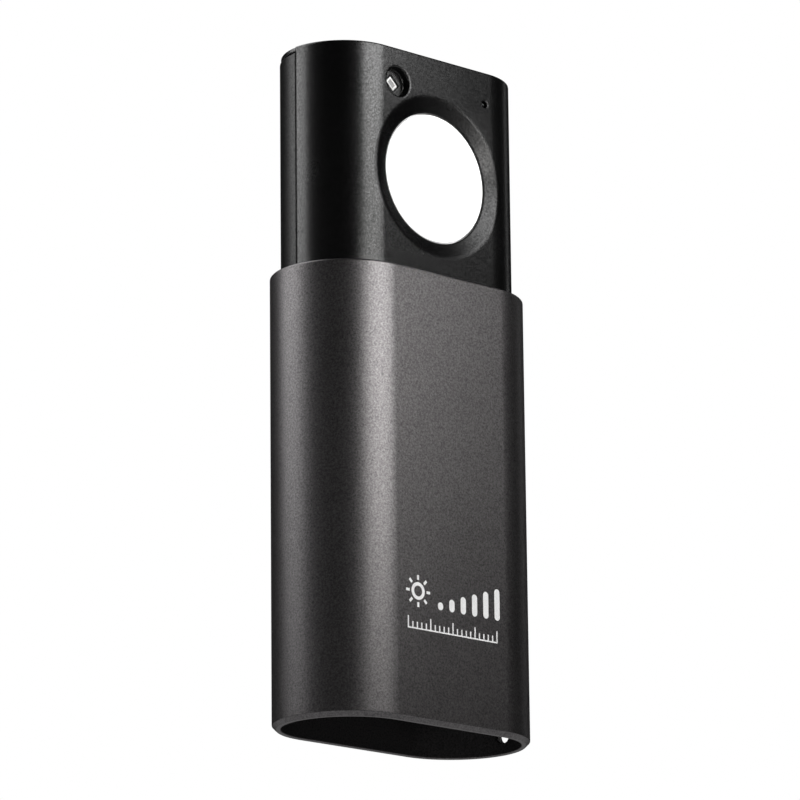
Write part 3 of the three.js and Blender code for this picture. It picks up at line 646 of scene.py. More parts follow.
def opal_with_painted_glow():
    """White plastic with a painted glow: it gives off light of its own, though it is no lamp."""
    shader = Shader("opal_diffuser")
    # Emission_Strength paints a glow onto the disc, so that it reads as brightly lit white.
    shader.set(Roughness=0.35, Emission_Color=(1.0, 1.0, 1.0, 1.0), Emission_Strength=0.4)
    cloud = shader.noise(3.0)
    shader.feed("Base Color", shader.tint(cloud, (0.93, 0.93, 0.93), (0.96, 0.96, 0.96)))
    return shader.material


def metal(name, dark, light, roughness, stretch=(1, 1, 1), grain_mm=0.3):
    """Plated or rolled metal, with marks drawn out along the axes where stretch is small."""
    shader = Shader(name)
    shader.set(Metallic=1.0)
    marks = shader.noise(grain_mm, detail=3.0, stretch=stretch)
    shader.feed("Base Color", shader.tint(marks, dark, light))
    shader.feed("Roughness", shader.spread(marks, roughness - 0.05, roughness + 0.08))
    shader.bump(marks, 0.004, 0.3)
    return shader.material


def laminate(name, mask, copper):
    """Solder mask over copper: fine tracks show as a slightly lighter pattern."""
    shader = Shader(name)
    shader.set(Roughness=0.3, Coat_Weight=0.3, Coat_Roughness=0.15)
    tracks = shader.nodes.new("ShaderNodeTexBrick")
    tracks.inputs["Scale"].default_value = TRACK_SCALE
    tracks.inputs["Color1"].default_value = (*mask, 1)
    tracks.inputs["Color2"].default_value = (*mask, 1)
    tracks.inputs["Mortar"].default_value = (*copper, 1)
    tracks.inputs["Mortar Size"].default_value = TRACK_WIDTH
    turn_up = shader.nodes.new("ShaderNodeMapping")
    turn_up.inputs["Rotation"].default_value = (math.radians(90), 0, 0)
    shader.links.new(shader.place, turn_up.inputs["Vector"])
    shader.links.new(turn_up.outputs["Vector"], tracks.inputs["Vector"])
    shader.feed("Base Color", tracks.outputs["Color"])
    return shader.material


def clear_acrylic():
    """Clear plastic, slightly hazy, tinted dark as painted shade that keeps the pipe dark in its pinhole."""
    shader = Shader("clear_acrylic")
    # The dark Base_Color is painted shade: it stands in for the shade in the pinhole round the pipe's tip.
    shader.set(Transmission_Weight=1.0, IOR=1.49, Base_Color=(0.14, 0.15, 0.16, 1.0))
    shader.feed("Roughness", shader.spread(shader.noise(0.5), 0.22, 0.3))
    return shader.material


def white_print():
    shader = Shader("white_print")
    grain = shader.noise(0.12)
    shader.feed("Base Color", shader.tint(grain, (0.70, 0.70, 0.70), (0.84, 0.84, 0.84)))
    shader.feed("Roughness", shader.spread(grain, 0.45, 0.6))
    shader.bump(grain, 0.006, 0.4)
    return shader.material


# The looks by name. A piece takes the look of its slot, or one of the extra ones: the duller plastic of
# the rear cover, the sensor's grey window and the print.
MATERIALS = {
    "anodised_sleeve": anodised_metal(),
    "core_plastic": core_plastic("core_plastic", 0.265, 0.5),
    "rear_plastic": core_plastic("rear_plastic", 0.37, 0.32),
    "cap_plastic": moulded_plastic("cap_plastic", (0.010, 0.010, 0.0105), 0.42),
    "white_plastic": moulded_plastic("white_plastic", (0.78, 0.78, 0.76), 0.5),
    "ceramic_package": moulded_plastic("ceramic_package", (0.80, 0.80, 0.79), 0.4, 0.1, 0.004),
    "seal_rubber": moulded_plastic("seal_rubber", (0.012, 0.012, 0.012), 0.6, 0.15),
    "opal_diffuser": opal_with_painted_glow(),
    "sensor_window": moulded_plastic("sensor_window", (0.3, 0.3, 0.3), 0.3, 0.1, 0.004),
    "clear_acrylic": clear_acrylic(),
    "circuit_laminate": laminate("circuit_laminate", (0.012, 0.075, 0.035), (0.03, 0.15, 0.06)),
    "module_laminate": laminate("module_laminate", (0.012, 0.035, 0.09), (0.03, 0.07, 0.16)),
    "nickel_plate": metal("nickel_plate", (0.55, 0.53, 0.49), (0.66, 0.64, 0.60), 0.25),
    "cell_steel": metal("cell_steel", (0.5, 0.5, 0.48), (0.62, 0.62, 0.6), 0.3, (0.05, 1, 1), 0.2),
    "spring_steel": metal("spring_steel", (0.5, 0.5, 0.5), (0.6, 0.6, 0.6), 0.3, (1, 1, 0.05), 0.1),
    "black_screw_steel": metal("black_screw_steel", (0.03, 0.03, 0.032), (0.06, 0.06, 0.063), 0.35),
    "white_print": white_print(),
}


# ---- Sleeve ----


def sleeve():
    wall, top = SLEEVE_WALL, SLEEVE.z
    corners = [
        (FOOT_BEVEL, 0.0),
        (0.0, FOOT_BEVEL),
        (0.0, top - TOP_BEVEL),
        (TOP_BEVEL, top),
        (wall - MOUTH_BEVEL, top),
        (wall, top - MOUTH_BEVEL),
        (wall, INNER_FOOT_BEVEL),
        (wall - INNER_FOOT_BEVEL, 0.0),
    ]
    rings = []
    for inset, z in soften(corners, BEVEL_BLEND):
        radius = SLEEVE.y - inset
        rings.append([(x, y, z) for x, y in oval(SLEEVE_FLAT, radius, radius)])
    tube = rings_to_mesh("sleeve", rings, True)
    cut(tube, lanyard_cutter(), *[detent_groove(side) for side in SIDES])
    place(tube, "sleeve_tube", "sleeve", "anodised_sleeve", "sleeve_shell", normal_at=sleeve_normal)


def sleeve_normal(facing, point):
    """Exact normals on the sleeve's outer and inner walls."""
    if abs(facing.z) > UPRIGHT:
        return None
    outer = oval_normal(SLEEVE_FLAT, SLEEVE.y, point)
    inner = oval_normal(SLEEVE_FLAT, SLEEVE.y - SLEEVE_WALL, point)
    return outer or (inner and -inner)


def lanyard_cutter():
    """A drill through the right wall, flared where it leaves the metal on both sides."""
    outer, inner = SLEEVE.x, SLEEVE.x - SLEEVE_WALL
    wide = LANYARD_RADIUS + LANYARD_FLARE
    profile = [
        (wide, inner - PAST),
        (wide, inner - LANYARD_LEAD),
        (LANYARD_RADIUS, inner + LANYARD_FLARE),
        (LANYARD_RADIUS, outer - LANYARD_FLARE - LANYARD_LEAD),
        (wide, outer),
        (wide, outer + PAST),
    ]
    drill = turned("drill", profile, steps=SMALL_STEPS)
    sideways = Matrix.Rotation(-math.pi / 2, 4, "Z")
    drill.data.transform(Matrix.Translation((0, 0, LANYARD_Z)) @ sideways)
    return drill


def detent_groove(side):
    """The groove that a detent spring's bump runs in, as long as the core's travel."""
    low, high = span("detent_spring_right")
    bump_z = (low.z + high.z) / 2
    travel = frame["joints"][0]["range_m"][0] / MM
    reaches = (SLEEVE.x - SLEEVE_WALL - GROOVE_LEAD, high.x + GROOVE_GAP)
    foot = (-GROOVE_HALF_WIDTH, bump_z + travel - GROOVE_HALF_HEIGHT)
    top = (GROOVE_HALF_WIDTH, bump_z + GROOVE_HALF_HEIGHT)
    return side_block(side, reaches, foot, top, GROOVE_EDGE)


# ---- Printed mark: a sun, rising bars and a graduated scale ----


def printed_mark():
    front, back = -SLEEVE.y - PRINT_RISE, -SLEEVE.y + PRINT_ROOT
    bm = bmesh.new()

    def slab(outline):
        near = [bm.verts.new((x, front, z)) for x, z in outline]
        far = [bm.verts.new((x, back, z)) for x, z in outline]
        bm.faces.new(near)
        bm.faces.new(reversed(far))
        for i in range(len(near)):
            j = (i + 1) % len(near)
            bm.faces.new((near[i], far[i], far[j], near[j]))

    def upright(left, right, low, high):
        slab([(left, low), (right, low), (right, high), (left, high)])

    def pill(x, low, high, width):
        """An upright bar with round ends."""
        r = width / 2
        slab(arc(x, high - r, r, 0, 180, PRINT_STEPS) + arc(x, low + r, r, 180, 360, PRINT_STEPS))

    def ring(x, z, inner, outer):
        loops = []
        for radius, y in ((inner, front), (outer, front), (outer, back), (inner, back)):
            loops.append([bm.verts.new((px, y, pz)) for px, pz in circle(x, z, radius, SMALL_STEPS)])
        for a, b in zip(loops, loops[1:] + loops[:1]):
            for i in range(SMALL_STEPS):
                j = (i + 1) % SMALL_STEPS
                bm.faces.new((a[i], b[i], b[j], a[j]))

    ring(SUN.x, SUN.y, SUN_INNER, SUN_OUTER)
    for ray in range(RAY_COUNT):
        angle = math.tau * ray / RAY_COUNT
        along = Vector((math.cos(angle), math.sin(angle)))
        across = Vector((-along.y, along.x)) * RAY_HALF_WIDTH
        near, far = SUN + along * RAY_START, SUN + along * RAY_END
        slab([near - across, far - across, far + across, near + across])

    for bar in range(BAR_COUNT):
        pill(BAR_X + bar * BAR_PITCH, BAR_FOOT, BAR_TOP + bar * BAR_RISE, BAR_WIDTH)

    upright(-SCALE_HALF, SCALE_HALF, SCALE_FOOT, SCALE_TOP)
    first = TICK_HALF_WIDTH - SCALE_HALF
    for tick in range(TICK_COUNT):
        x = first - 2 * first * tick / (TICK_COUNT - 1)
        top = SHORT_TICK_TOP if tick % LONG_TICK_EVERY else LONG_TICK_TOP
        upright(x - TICK_HALF_WIDTH, x + TICK_HALF_WIDTH, SCALE_TOP, top)
    mark = new_object("mark", bm)
    place(mark, "printed_mark", "sleeve", "white_plastic", look="white_print")


# ---- Core casing ----


def casing(name, back, top):
    """A whole oval bar with the casing's rounded ends, whose back may be a little slimmer."""
    return oval_bar(
        name, CORE_FLAT, CORE_RADIUS, back, CORE_LOW, top, CASING_FOOT_EDGE, CASING_TOP_EDGE
    )


def core_cavity(top):
    radius = CORE_RADIUS - CORE_WALL
    return oval_bar("cavity", CORE_FLAT, radius, radius, CORE_LOW + CORE_WALL, top)


def rear_space():
    """Everything behind the seam and under the lip."""
    wide = SLEEVE.x
    return block((-wide, -SEAM / 2, CORE_LOW - PAST), (wide, wide, CORE_TOP - LIP))


def front_space():
    """Everything in front of the rear cover."""
    wide = SLEEVE.x
    return block((-wide, -wide, CORE_LOW - PAST), (wide, SEAM / 2, CORE_TOP + PAST))


def screw_places(node):
    return [middle(f"{node}_{i}") for i in range(1, 5)]


def drills(node, front, back, radius, steps=SCREW_STEPS):
    """A bore for each of the four screws of a kind."""
    return [disc(p.x, p.z, front, back, radius, steps) for p in screw_places(node)]


def front_housing():
    shell = casing("front", CORE_RADIUS - LIP_INSET, CORE_TOP)
    cut(shell, rear_space(), core_cavity(CORE_TOP - LIP - FRONT_ROOF))
    join(shell, front_posts(), *seam_ribs())
    cut(shell, recess_cutter(), flicker_cutter(), sensor_opening(), pinhole_cutter())
    cut(shell, *spring_pockets())
    cut(shell, *drills("case_screw", CASE_PILOT_FRONT, PAST, CASE_PILOT_RADIUS))
    cut(shell, *drills("board_screw", BOARD_FRONT - BOARD_PILOT_DEPTH, PAST, BOARD_PILOT_RADIUS))
    place(shell, "front_casing", "core", "core_plastic", "front_housing", normal_at=front_normal)


def front_normal(facing, point):
    """Exact normals on the outer wall and in the recess round the diffuser."""
    x, z = point.x, point.z
    if math.hypot(x, z - OPTIC_Z) < RECESS_RADIUS + RECESS_BLEND and facing.y < RECESS_FACING:
        if abs(point.y - recess_face(x, z)) < ON_RECESS:
            across = recess_face(x + SLOPE_STEP, z) - recess_face(x - SLOPE_STEP, z)
            up = recess_face(x, z + SLOPE_STEP) - recess_face(x, z - SLOPE_STEP)
            return Vector((across, -2 * SLOPE_STEP, up)).normalized()
    if abs(facing.z) < UPRIGHT and point.y < SEAM:
        return oval_normal(CORE_FLAT, CORE_RADIUS, point)
    return None


def front_wall(x):
    """How far front the casing's outer wall lies at a width."""
    over = max(0, abs(x) - CORE_FLAT)
    return -math.sqrt(CORE_RADIUS**2 - over**2)


def recess_face(x, z):
    """The recess's surface: it leaves the wall softly all round and runs straight to the hole."""
    radius = math.hypot(x, z - OPTIC_Z)
    over = RECESS_RADIUS + RECESS_BLEND - radius
    if over < 2 * RECESS_BLEND:
        depth = over**2 / (4 * RECESS_BLEND)
    else:
        depth = over - RECESS_BLEND
    share = max(0, min(1, (radius - DIFFUSER_HOLE) / (RECESS_RADIUS - DIFFUSER_HOLE)))
    return CORE_FACE + (front_wall(x) - CORE_FACE) * share + RECESS_SLOPE * depth


def front_posts():
    """Screw posts, the light pipe's post and the diffuser's collar, trimmed to fit inside the wall."""
    root = CORE_FACE + POST_ROOT
    posts = drills("case_screw", root, -CASE_POST_GAP, CASE_POST_RADIUS, SMALL_STEPS)
    posts += drills("board_screw", root, BOARD_FRONT - BOARD_POST_GAP, BOARD_POST_RADIUS, SMALL_STEPS)
    posts.append(disc(PIPE.x, PIPE.z, root, BOARD_FRONT - PIPE_POST_GAP, PIPE_POST_RADIUS))
    collar = [
        (COLLAR_INNER, root),
        (COLLAR_OUTER, root),
        (COLLAR_OUTER, DIFFUSER_BACK),
        (COLLAR_INNER, DIFFUSER_BACK),
    ]
    posts.append(turned("collar", collar, 0, OPTIC_Z, closed=True))
    whole = join(*posts)
    radius = CORE_RADIUS - POST_TRIM
    return trim(whole, oval_bar("limit", CORE_FLAT, radius, radius, CORE_LOW, CORE_TOP - LIP))


def rib_sides():
    """How far out the casing's inner wall and a side rib's outer and inner faces lie."""
    wall = CORE_FLAT + CORE_RADIUS - CORE_WALL
    return wall, wall - RIB_GAP, wall - RIB_GAP - RIB_THICKNESS


def seam_ribs():
    """Ribs behind the seam that keep light out: one up each side to the lip, one along the floor."""
    wall, outer, inner = rib_sides()
    low, high = CORE_LOW + CORE_WALL + RIB_GAP, CORE_TOP - LIP + RIB_LIP_ROOT
    front, seam = -RIB_REACH, -SEAM / 2
    ribs = []
    for side in SIDES:
        ribs.append(side_block(side, (inner, wall + RIB_ROOT), (front, low), (seam, high)))
        ribs.append(side_block(side, (inner, outer), (front, low), (RIB_REACH, high)))
    floor_top = low + RIB_THICKNESS
    ribs.append(block((-inner, front, low - FLOOR_RIB_ROOT), (inner, seam, floor_top)))
    ribs.append(block((-inner, front, low), (inner, FLOOR_RIB_REACH, floor_top)))
    return ribs


def rib_notches():
    """Slots in the rear cover's roof for the upper ends of the side ribs."""
    wall, _, inner = rib_sides()
    low, high = (-PAST, REAR_TOP - NOTCH_DEPTH), (RIB_REACH + RIB_GAP, CORE_TOP)
    return [side_block(side, (inner - RIB_GAP, wall), low, high) for side in SIDES]


def recess_cutter():
    """The shallow funnel round the diffuser, which leaves the wall softly at its rim."""
    rim = RECESS_RADIUS + RECESS_BLEND
    radii = [rim - 2 * RECESS_BLEND * i / RIM_STEPS for i in range(1, RIM_STEPS + 1)]
    radii += [RECESS_RADIUS - ring for ring in RECESS_RINGS] + [DIFFUSER_HOLE]
    rings = [flat_ring(rim + PAST, CORE_FACE - RECESS_CLEARANCE), surface_ring(rim, RECESS_LIFT)]
    rings += [surface_ring(radius) for radius in radii]
    rings.append(flat_ring(DIFFUSER_HOLE, 0))
    return rings_to_mesh("recess", rings, False)


def flat_ring(radius, y):
    return [(x, y, z) for x, z in circle(0, OPTIC_Z, radius, ROUND_STEPS)]


def surface_ring(radius, lift=0.0):
    """A ring on the recess's surface, or lifted just clear of it."""
    return [(x, recess_face(x, z) - lift, z) for x, z in circle(0, OPTIC_Z, radius, ROUND_STEPS)]


def flicker_cutter():
    """The sensor's bore, rounded at its mouth, down to its floor."""
    rim = FLICKER_RADIUS + FLICKER_RIM
    mouth = arc(rim, CORE_FACE + FLICKER_RIM, FLICKER_RIM, MOUTH_START, 180, RIM_STEPS)
    profile = [
        (rim + RIM_MARGIN, CORE_FACE - RIM_MARGIN),
        *mouth,
        (FLICKER_RADIUS, CORE_FACE + FLICKER_DEPTH),
    ]
    return turned("bore", profile, FLICKER.x, FLICKER.z, BORE_STEPS)


def sensor_block(half, front, back, edge=0.0):
    """A block centred on the flicker sensor, from the halves of its width and height."""
    x, z = FLICKER.x, FLICKER.z
    wide, tall = half
    return block((x - wide, front, z - tall), (x + wide, back, z + tall), edge)


def turn_with_sensor(obj):
    return turn(obj, SENSOR_TURN, FLICKER.x, FLICKER.z)


def sensor_opening():
    """The opening in the bore's floor, a little larger than the sensor behind it."""
    return turn_with_sensor(sensor_block(OPENING_HALF, CORE_FACE, BOARD_FRONT - OPENING_GAP))


def pinhole_cutter():
    profile = [
        (PINHOLE_RADIUS + PINHOLE_RIM + RIM_MARGIN, CORE_FACE - RIM_MARGIN),
        (PINHOLE_RADIUS + PINHOLE_RIM, CORE_FACE),
        (PINHOLE_RADIUS, CORE_FACE + PINHOLE_RIM),
        (PINHOLE_RADIUS, CORE_FACE + PINHOLE_DEPTH),
        (PIPE_BORE_RADIUS, CORE_FACE + PINHOLE_DEPTH),
        (PIPE_BORE_RADIUS, BOARD_FRONT),
    ]
    return turned("pinhole", profile, PIPE.x, PIPE.z, FINE_STEPS)


def spring_pockets():
    low, high = span("detent_spring_right")
    reaches = (low.x - POCKET_FLOOR_GAP, CORE_FLAT + CORE_RADIUS + PAST)
    foot = (-POCKET_HALF_WIDTH, low.z - POCKET_END_GAP)
    top = (POCKET_HALF_WIDTH, high.z + POCKET_END_GAP)
    return [side_block(side, reaches, foot, top) for side in SIDES]


def rear_cover():
    cover = casing("rear", CORE_RADIUS, REAR_TOP)
    cut(cover, front_space(), core_cavity(REAR_TOP - REAR_ROOF), *rib_notches())

    back = CORE_RADIUS + PAST
    bay = disc(0, OPTIC_Z, BAY_FRONT, back, BAY_RADIUS, ROUND_STEPS)
    bosses = drills("case_screw", BOSS_FRONT, back, BOSS_RADIUS, SMALL_STEPS)
    join(bay, *bosses)
    trim(bay, casing("whole", CORE_RADIUS, REAR_TOP))
    join(cover, bay)

    entries = lug_blocks(ENTRY_FRONT, LEDGE_BACK + PAST, ENTRY_REACH, ENTRY_WIDTH, ENTRY_TURN)
    cut(cover, cap_recess_cutter(), entries)
    low = (-CONTACT_SLOT_HALF, 0, OPTIC_Z + CONTACT_SLOT_LOW)
    high = (CONTACT_SLOT_HALF, CONTACT_SLOT_BACK, OPTIC_Z + CONTACT_SLOT_HIGH)
    cut(cover, block(low, high))
    head = CORE_RADIUS - SCREW_HEAD_DEPTH
    for p in screw_places("case_screw"):
        cut(cover, disc(p.x, p.z, head, back, SCREW_HEAD_RADIUS))
        cut(cover, disc(p.x, p.z, 0, CORE_RADIUS, SCREW_SHANK_RADIUS))
    cut(cover, *spring_pockets())
    place(cover, "rear_casing", "core", "core_plastic", "rear_cover", normal_at=rear_normal,
          look="rear_plastic")


def rear_normal(facing, point):
    """Exact normals on the outer wall."""
    if abs(facing.z) < UPRIGHT and point.y > 0:
        return oval_normal(CORE_FLAT, CORE_RADIUS, point)
    return None


def cap_recess_cutter():
    """The cell's bore, the groove for the lugs, the ledge, and the recess that the cap lies in."""
    mouth = CAP_RECESS + CAP_RECESS_BEVEL
    profile = [
        (CELL_BORE_RADIUS, CELL_BORE_FRONT),
        (CELL_BORE_RADIUS, LUG_GROOVE_FRONT),
        (LUG_GROOVE_RADIUS, LUG_GROOVE_FRONT),
        (LUG_GROOVE_RADIUS, LUG_GROOVE_BACK),
        (CELL_BORE_RADIUS, LUG_GROOVE_BACK),
        (CELL_BORE_RADIUS, LEDGE_BACK),
        (CAP_RECESS, LEDGE_BACK),
        (CAP_RECESS, CORE_RADIUS - CAP_RECESS_BEVEL),
        (mouth, CORE_RADIUS),
        (mouth, CORE_RADIUS + PAST),
    ]
    return turned("cap_recess", profile, 0, OPTIC_Z)


def lug_blocks(front, back, reach, width, degrees):
    """Blocks round the cap's axis, trimmed to a reach: the lugs, or the notches they enter by."""
    pieces = []
    for lug in range(LUG_COUNT):
        low = (LUG_ROOT, front, OPTIC_Z - width / 2)
        high = (LUG_END, back, OPTIC_Z + width / 2)
        pieces.append(turn(block(low, high), 90 + 360 / LUG_COUNT * lug + degrees, 0, OPTIC_Z))
    return trim(join(*pieces), disc(0, OPTIC_Z, front, back, reach, ROUND_STEPS))


# ---- Battery cap ----


def battery_cap():
    rim_inset, rim_drop = CAP_RIM_MIDDLE
    profile = [
        (PLUG_RADIUS - PLUG_EDGE, CAP_FRONT),
        (PLUG_RADIUS, CAP_FRONT + PLUG_EDGE),
        (PLUG_RADIUS, SEAL_GROOVE_FRONT),
        (SEAL_GROOVE_RADIUS, SEAL_GROOVE_FRONT),
        (SEAL_GROOVE_RADIUS, SEAL_GROOVE_BACK),
        (CAP_RADIUS - CAP_UNDER_EDGE, SEAL_GROOVE_BACK),
        (CAP_RADIUS, SEAL_GROOVE_BACK + CAP_UNDER_EDGE),
        (CAP_RADIUS, CAP_BACK - CAP_RIM),
        (CAP_RADIUS - rim_inset, CAP_BACK - rim_drop),
        (CAP_RADIUS - CAP_RIM, CAP_BACK),
        (FACE_RING_OUTER, CAP_BACK),
        (FACE_RING_OUTER - FACE_RING_SIDE, CAP_BACK - SUNK),
        (FACE_RING_INNER + FACE_RING_SIDE, CAP_BACK - SUNK),
        (FACE_RING_INNER, CAP_BACK),
    ]
    cap = turned("cap", profile, 0, OPTIC_Z)
    join(cap, lug_blocks(LUG_FRONT, LUG_BACK, LUG_REACH, LUG_WIDTH, 0))
    cut(cap, coin_slot(), pointer())
    place(cap, "coin_slot_cap", "cap", "cap_plastic", "battery_cap")


def coin_slot():
    """A long slot with round ends and a softened mouth."""
    half = SLOT_HALF_LENGTH
    rings = []
    for grow, y in (
        (0.0, CAP_BACK - SLOT_DEPTH),
        (0.0, CAP_BACK - SUNK),
        (SUNK, CAP_BACK),
        (SUNK, CAP_BACK + PAST),
    ):
        r = SLOT_RADIUS + grow
        outline = arc(half, OPTIC_Z, r, -90, 90, SLOT_STEPS)
        outline += arc(-half, OPTIC_Z, r, 90, 270, SLOT_STEPS)
        rings.append([(x, y, z) for x, z in outline])
    return rings_to_mesh("slot", rings, False)


def pointer():
    """A small sunk triangle near the cap's rim."""
    base = POINTER_TIP - POINTER_SIZE
    corners = [(0, POINTER_TIP), (POINTER_HALF_WIDTH, base), (-POINTER_HALF_WIDTH, base)]
    rings = []
    for y in (CAP_BACK - SUNK, CAP_BACK + PAST):
        rings.append([(x, y, OPTIC_Z + z) for x, z in corners])
    return rings_to_mesh("pointer", rings, False)


# ---- Optics and small parts ----


def diffuser():
    """The opal disc, with its front edge rounded, and the flange that holds it from behind."""
    front, back = DIFFUSER_FRONT, DIFFUSER_BACK
    flange = back - DIFFUSER_FLANGE
    profile = [(DIFFUSER_RADIUS - inset, front + depth) for inset, depth in DIFFUSER_EDGE]
    profile += [
        (DIFFUSER_RADIUS, flange),
        (DIFFUSER_FLANGE_RADIUS, flange),
        (DIFFUSER_FLANGE_RADIUS, back),
    ]
    place(turned("diffuser", profile, 0, OPTIC_Z), "opal_disc", "core", "opal_diffuser", "diffuser")


def photodiode():
    """A pale package with a raised frame round a grey die."""
    low, high = span("flicker_photodiode")
    front, back = low.y, high.y
    case = sensor_block(SENSOR_HALF, front, back, SENSOR_EDGE)
    cut(case, sensor_block(HOLLOW_HALF, front - PAST, front + HOLLOW_DEPTH))
    turn_with_sensor(case)
    place(case, "flicker_sensor_case", "core", "ceramic_package", "flicker_photodiode")
    die = sensor_block(DIE_HALF, front + DIE_FRONT, front + DIE_BACK, DIE_EDGE)
    turn_with_sensor(die)
    place(die, "flicker_sensor_die", "core", "ceramic_package", look="sensor_window")


def light_pipe():
    """A thin tip that stands in the pinhole, on a thicker root that reaches the board's lamp."""
    low, high = span("light_pipe")
    tip = PINHOLE_RADIUS - PIPE_TIP_GAP
    profile = [
        (tip * PIPE_TIP_FLAT, low.y),
        (tip, low.y + PIPE_TIP_EDGE),
        (tip, low.y + PIPE_TIP_LENGTH),
        (PIPE_RADIUS, low.y + PIPE_TIP_LENGTH),
        (PIPE_RADIUS, high.y),
    ]
    pipe = turned("pipe", profile, PIPE.x, PIPE.z, FINE_STEPS)
    place(pipe, "clear_light_pipe", "core", "clear_acrylic", "light_pipe")


def coin_cell():
    low, high = span("coin_cell")
    radius = high.x
    profile = [(r, low.y + height) for r, height in CELL_FACE]
    inset, drop = CELL_BACK_MIDDLE
    profile += [
        (radius, low.y + CELL_SHOULDER),
        (radius, high.y - CELL_BACK_EDGE),
        (radius - inset, high.y - drop),
        (radius - CELL_BACK_EDGE, high.y),
    ]
    place(turned("cell", profile, 0, OPTIC_Z), "button_cell", "core", "cell_steel", "coin_cell")


def seal_ring():
    low, high = span("battery_cap_seal")
    section = (high.y - low.y) / 2
    profile = circle(high.x - section, (low.y + high.y) / 2, section * SEAL_FILL, SEAL_STEPS)
    ring = turned("ring", profile, 0, OPTIC_Z, closed=True)
    place(ring, "seal_ring", "cap", "seal_rubber", "battery_cap_seal")


def carried_over():
    """Every CAD node that is still shown gets the material of its slot."""
    for row in frame["record"]["subparts"]:
        node = frame["nodes"][row["node"]]
        if node.hide_render:
            continue
        node.data.materials.clear()
        node.data.materials.append(MATERIALS[row["material_slot"]])


# ---- Stage, light and camera ----

# The view: where it looks from and at, in degrees and millimetres, and the lens in millimetres.
VIEW_AZIMUTH = -42.69
VIEW_ELEVATION = -14.645
VIEW_ROLL = -0.62
VIEW_DISTANCE = 577.2
VIEW_AIM = (-6.55, -7.35, 37.51)
LENS = 226.72

# The soft lights: name, azimuth and elevation in degrees, then distance, width and height in metres,
# brightness and colour.
WHITE = (1, 1, 1)
LIGHTS = (
    ("key_low", 7.0, 13.5, 0.160, 0.131, 0.020, 11.95, (1.0, 0.99, 0.97)),
    ("key_high", 13.3, 33.2, 0.160, 0.105, 0.056, 6.9, WHITE),
    ("rear_left", -132.7, 39.0, 0.420, 0.308, 0.400, 3.82, WHITE),
    ("right", 94.6, 29.2, 0.315, 0.021, 0.356, 0.8, WHITE),
    ("left_fill", -72.0, 5.7, 0.200, 0.450, 0.120, 0.045, WHITE),
    ("overhead", 165, 60, 0.5, 0.3, 0.3, 1.2, WHITE),
)
LIGHT_TARGET = Vector((0, 0, 0.04))

# What surrounds the object: brightness at two heights on the sky, as (height, brightness) pairs, where
# height runs from -1 straight down to 1 straight up.
REFLECTED = ((-0.35, 0.5), (-0.12, 0.005))
SEEN = ((0.02, 0.84), (0.12, 1.0))

FLOOR_HALF = 2.5
FLOOR_DROP = 0.0004
FLOOR_BRIGHTNESS = 0.97
FLOOR_EVENNESS = 0.85


def direction(azimuth, elevation):
    """The unit vector towards a place, azimuth 0 in front of the object and 90 on its right."""
    a, e = math.radians(azimuth), math.radians(elevation)
    return Vector((math.sin(a) * math.cos(e), -math.cos(a) * math.cos(e), math.sin(e)))


def looking(away):
    """The rotation that faces back along a direction, with its top up."""
    return (-away).to_track_quat("-Z", "Y").to_matrix().to_4x4()


def add(name, data):
    obj = bpy.data.objects.new(name, data)
    bpy.context.scene.collection.objects.link(obj)
    return obj


def camera():
    data = bpy.data.cameras.new("camera")
    data.lens = LENS
    data.clip_start = 0.01
    obj = add("camera", data)
    away = direction(VIEW_AZIMUTH, VIEW_ELEVATION)
    roll = Matrix.Rotation(math.radians(VIEW_ROLL), 4, "Z")
    spot = (Vector(VIEW_AIM) + away * VIEW_DISTANCE) * MM
    obj.matrix_world = Matrix.Translation(spot) @ looking(away) @ roll
    bpy.context.scene.camera = obj


def softbox(name, azimuth, elevation, distance, width, height, brightness, colour):
    """A rectangular light that faces the object."""
    data = bpy.data.lights.new(name, "AREA")
    data.shape = "RECTANGLE"
    data.size = width
    data.size_y = height
    data.color = colour
    data.energy = brightness * math.pi * width * height
    obj = add(name, data)
    away = direction(azimuth, elevation)
    obj.matrix_world = Matrix.Translation(LIGHT_TARGET + away * distance) @ looking(away)
    obj.visible_camera = False


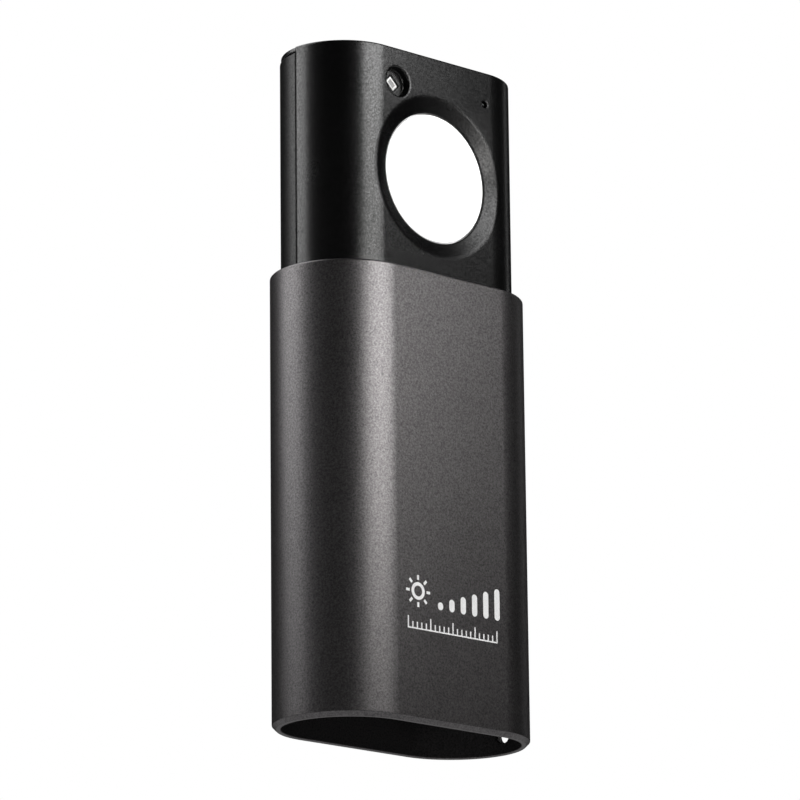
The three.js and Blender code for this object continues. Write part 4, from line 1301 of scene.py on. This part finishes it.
def surroundings():
    """White to the camera. To the object: dark above, and as bright as a pale floor below."""
    world = bpy.data.worlds.new("studio")
    bpy.context.scene.world = world
    world.use_nodes = True
    nodes, links = world.node_tree.nodes, world.node_tree.links
    nodes.clear()
    place_in = nodes.new("ShaderNodeTexCoord")
    split = nodes.new("ShaderNodeSeparateXYZ")
    links.new(place_in.outputs["Generated"], split.inputs["Vector"])

    def backdrop(low, high):
        """A background whose brightness changes between two heights on the sky."""
        slope = nodes.new("ShaderNodeMapRange")
        for end, (height, brightness) in (("Min", low), ("Max", high)):
            slope.inputs[f"From {end}"].default_value = height
            slope.inputs[f"To {end}"].default_value = brightness
        links.new(split.outputs["Z"], slope.inputs["Value"])
        background = nodes.new("ShaderNodeBackground")
        background.inputs["Color"].default_value = (*WHITE, 1)
        links.new(slope.outputs["Result"], background.inputs["Strength"])
        return background

    ray = nodes.new("ShaderNodeLightPath")
    mix = nodes.new("ShaderNodeMixShader")
    output = nodes.new("ShaderNodeOutputWorld")
    links.new(ray.outputs["Is Camera Ray"], mix.inputs["Fac"])
    links.new(backdrop(*REFLECTED).outputs["Background"], mix.inputs[1])
    links.new(backdrop(*SEEN).outputs["Background"], mix.inputs[2])
    links.new(mix.outputs["Shader"], output.inputs["Surface"])


def floor():
    """A pale floor under the object. It is clear from below, where the camera looks up past it."""
    bm = bmesh.new()
    bmesh.ops.create_grid(bm, x_segments=8, y_segments=8, size=FLOOR_HALF)
    obj = new_object("floor", bm)
    obj.location.z = -FLOOR_DROP
    obj.visible_glossy = False
    obj.visible_shadow = False
    shader = Shader("floor")
    shader.set(Roughness=0.9, Specular_IOR_Level=0.1)
    shader.feed("Base Color", shader.tint(shader.noise(40), (0.86, 0.86, 0.86), (0.88, 0.88, 0.88)))

    def mixed(share, first, second):
        mix = shader.nodes.new("ShaderNodeMixShader")
        shader.links.new(share, mix.inputs["Fac"])
        shader.links.new(first, mix.inputs[1])
        shader.links.new(second, mix.inputs[2])
        return mix.outputs["Shader"]

    ray = shader.nodes.new("ShaderNodeLightPath")
    glow = shader.nodes.new("ShaderNodeEmission")
    glow.inputs["Strength"].default_value = FLOOR_BRIGHTNESS
    share = shader.math("MULTIPLY", ray.outputs["Is Camera Ray"], FLOOR_EVENNESS)
    seen = mixed(share, shader.surface.outputs["BSDF"], glow.outputs["Emission"])
    side = shader.nodes.new("ShaderNodeNewGeometry")
    clear = shader.nodes.new("ShaderNodeBsdfTransparent")
    one_sided = mixed(side.outputs["Backfacing"], seen, clear.outputs["BSDF"])
    shader.links.new(one_sided, shader.nodes["Material Output"].inputs["Surface"])
    obj.data.materials.append(shader.material)


def plain_colours():
    view = bpy.context.scene.view_settings
    view.view_transform = "Standard"
    view.look = "None"


sleeve()
printed_mark()
front_housing()
rear_cover()
battery_cap()
diffuser()
photodiode()
light_pipe()
coin_cell()
seal_ring()
carried_over()
floor()
surroundings()
for light in LIGHTS:
    softbox(*light)
camera()
plain_colours()
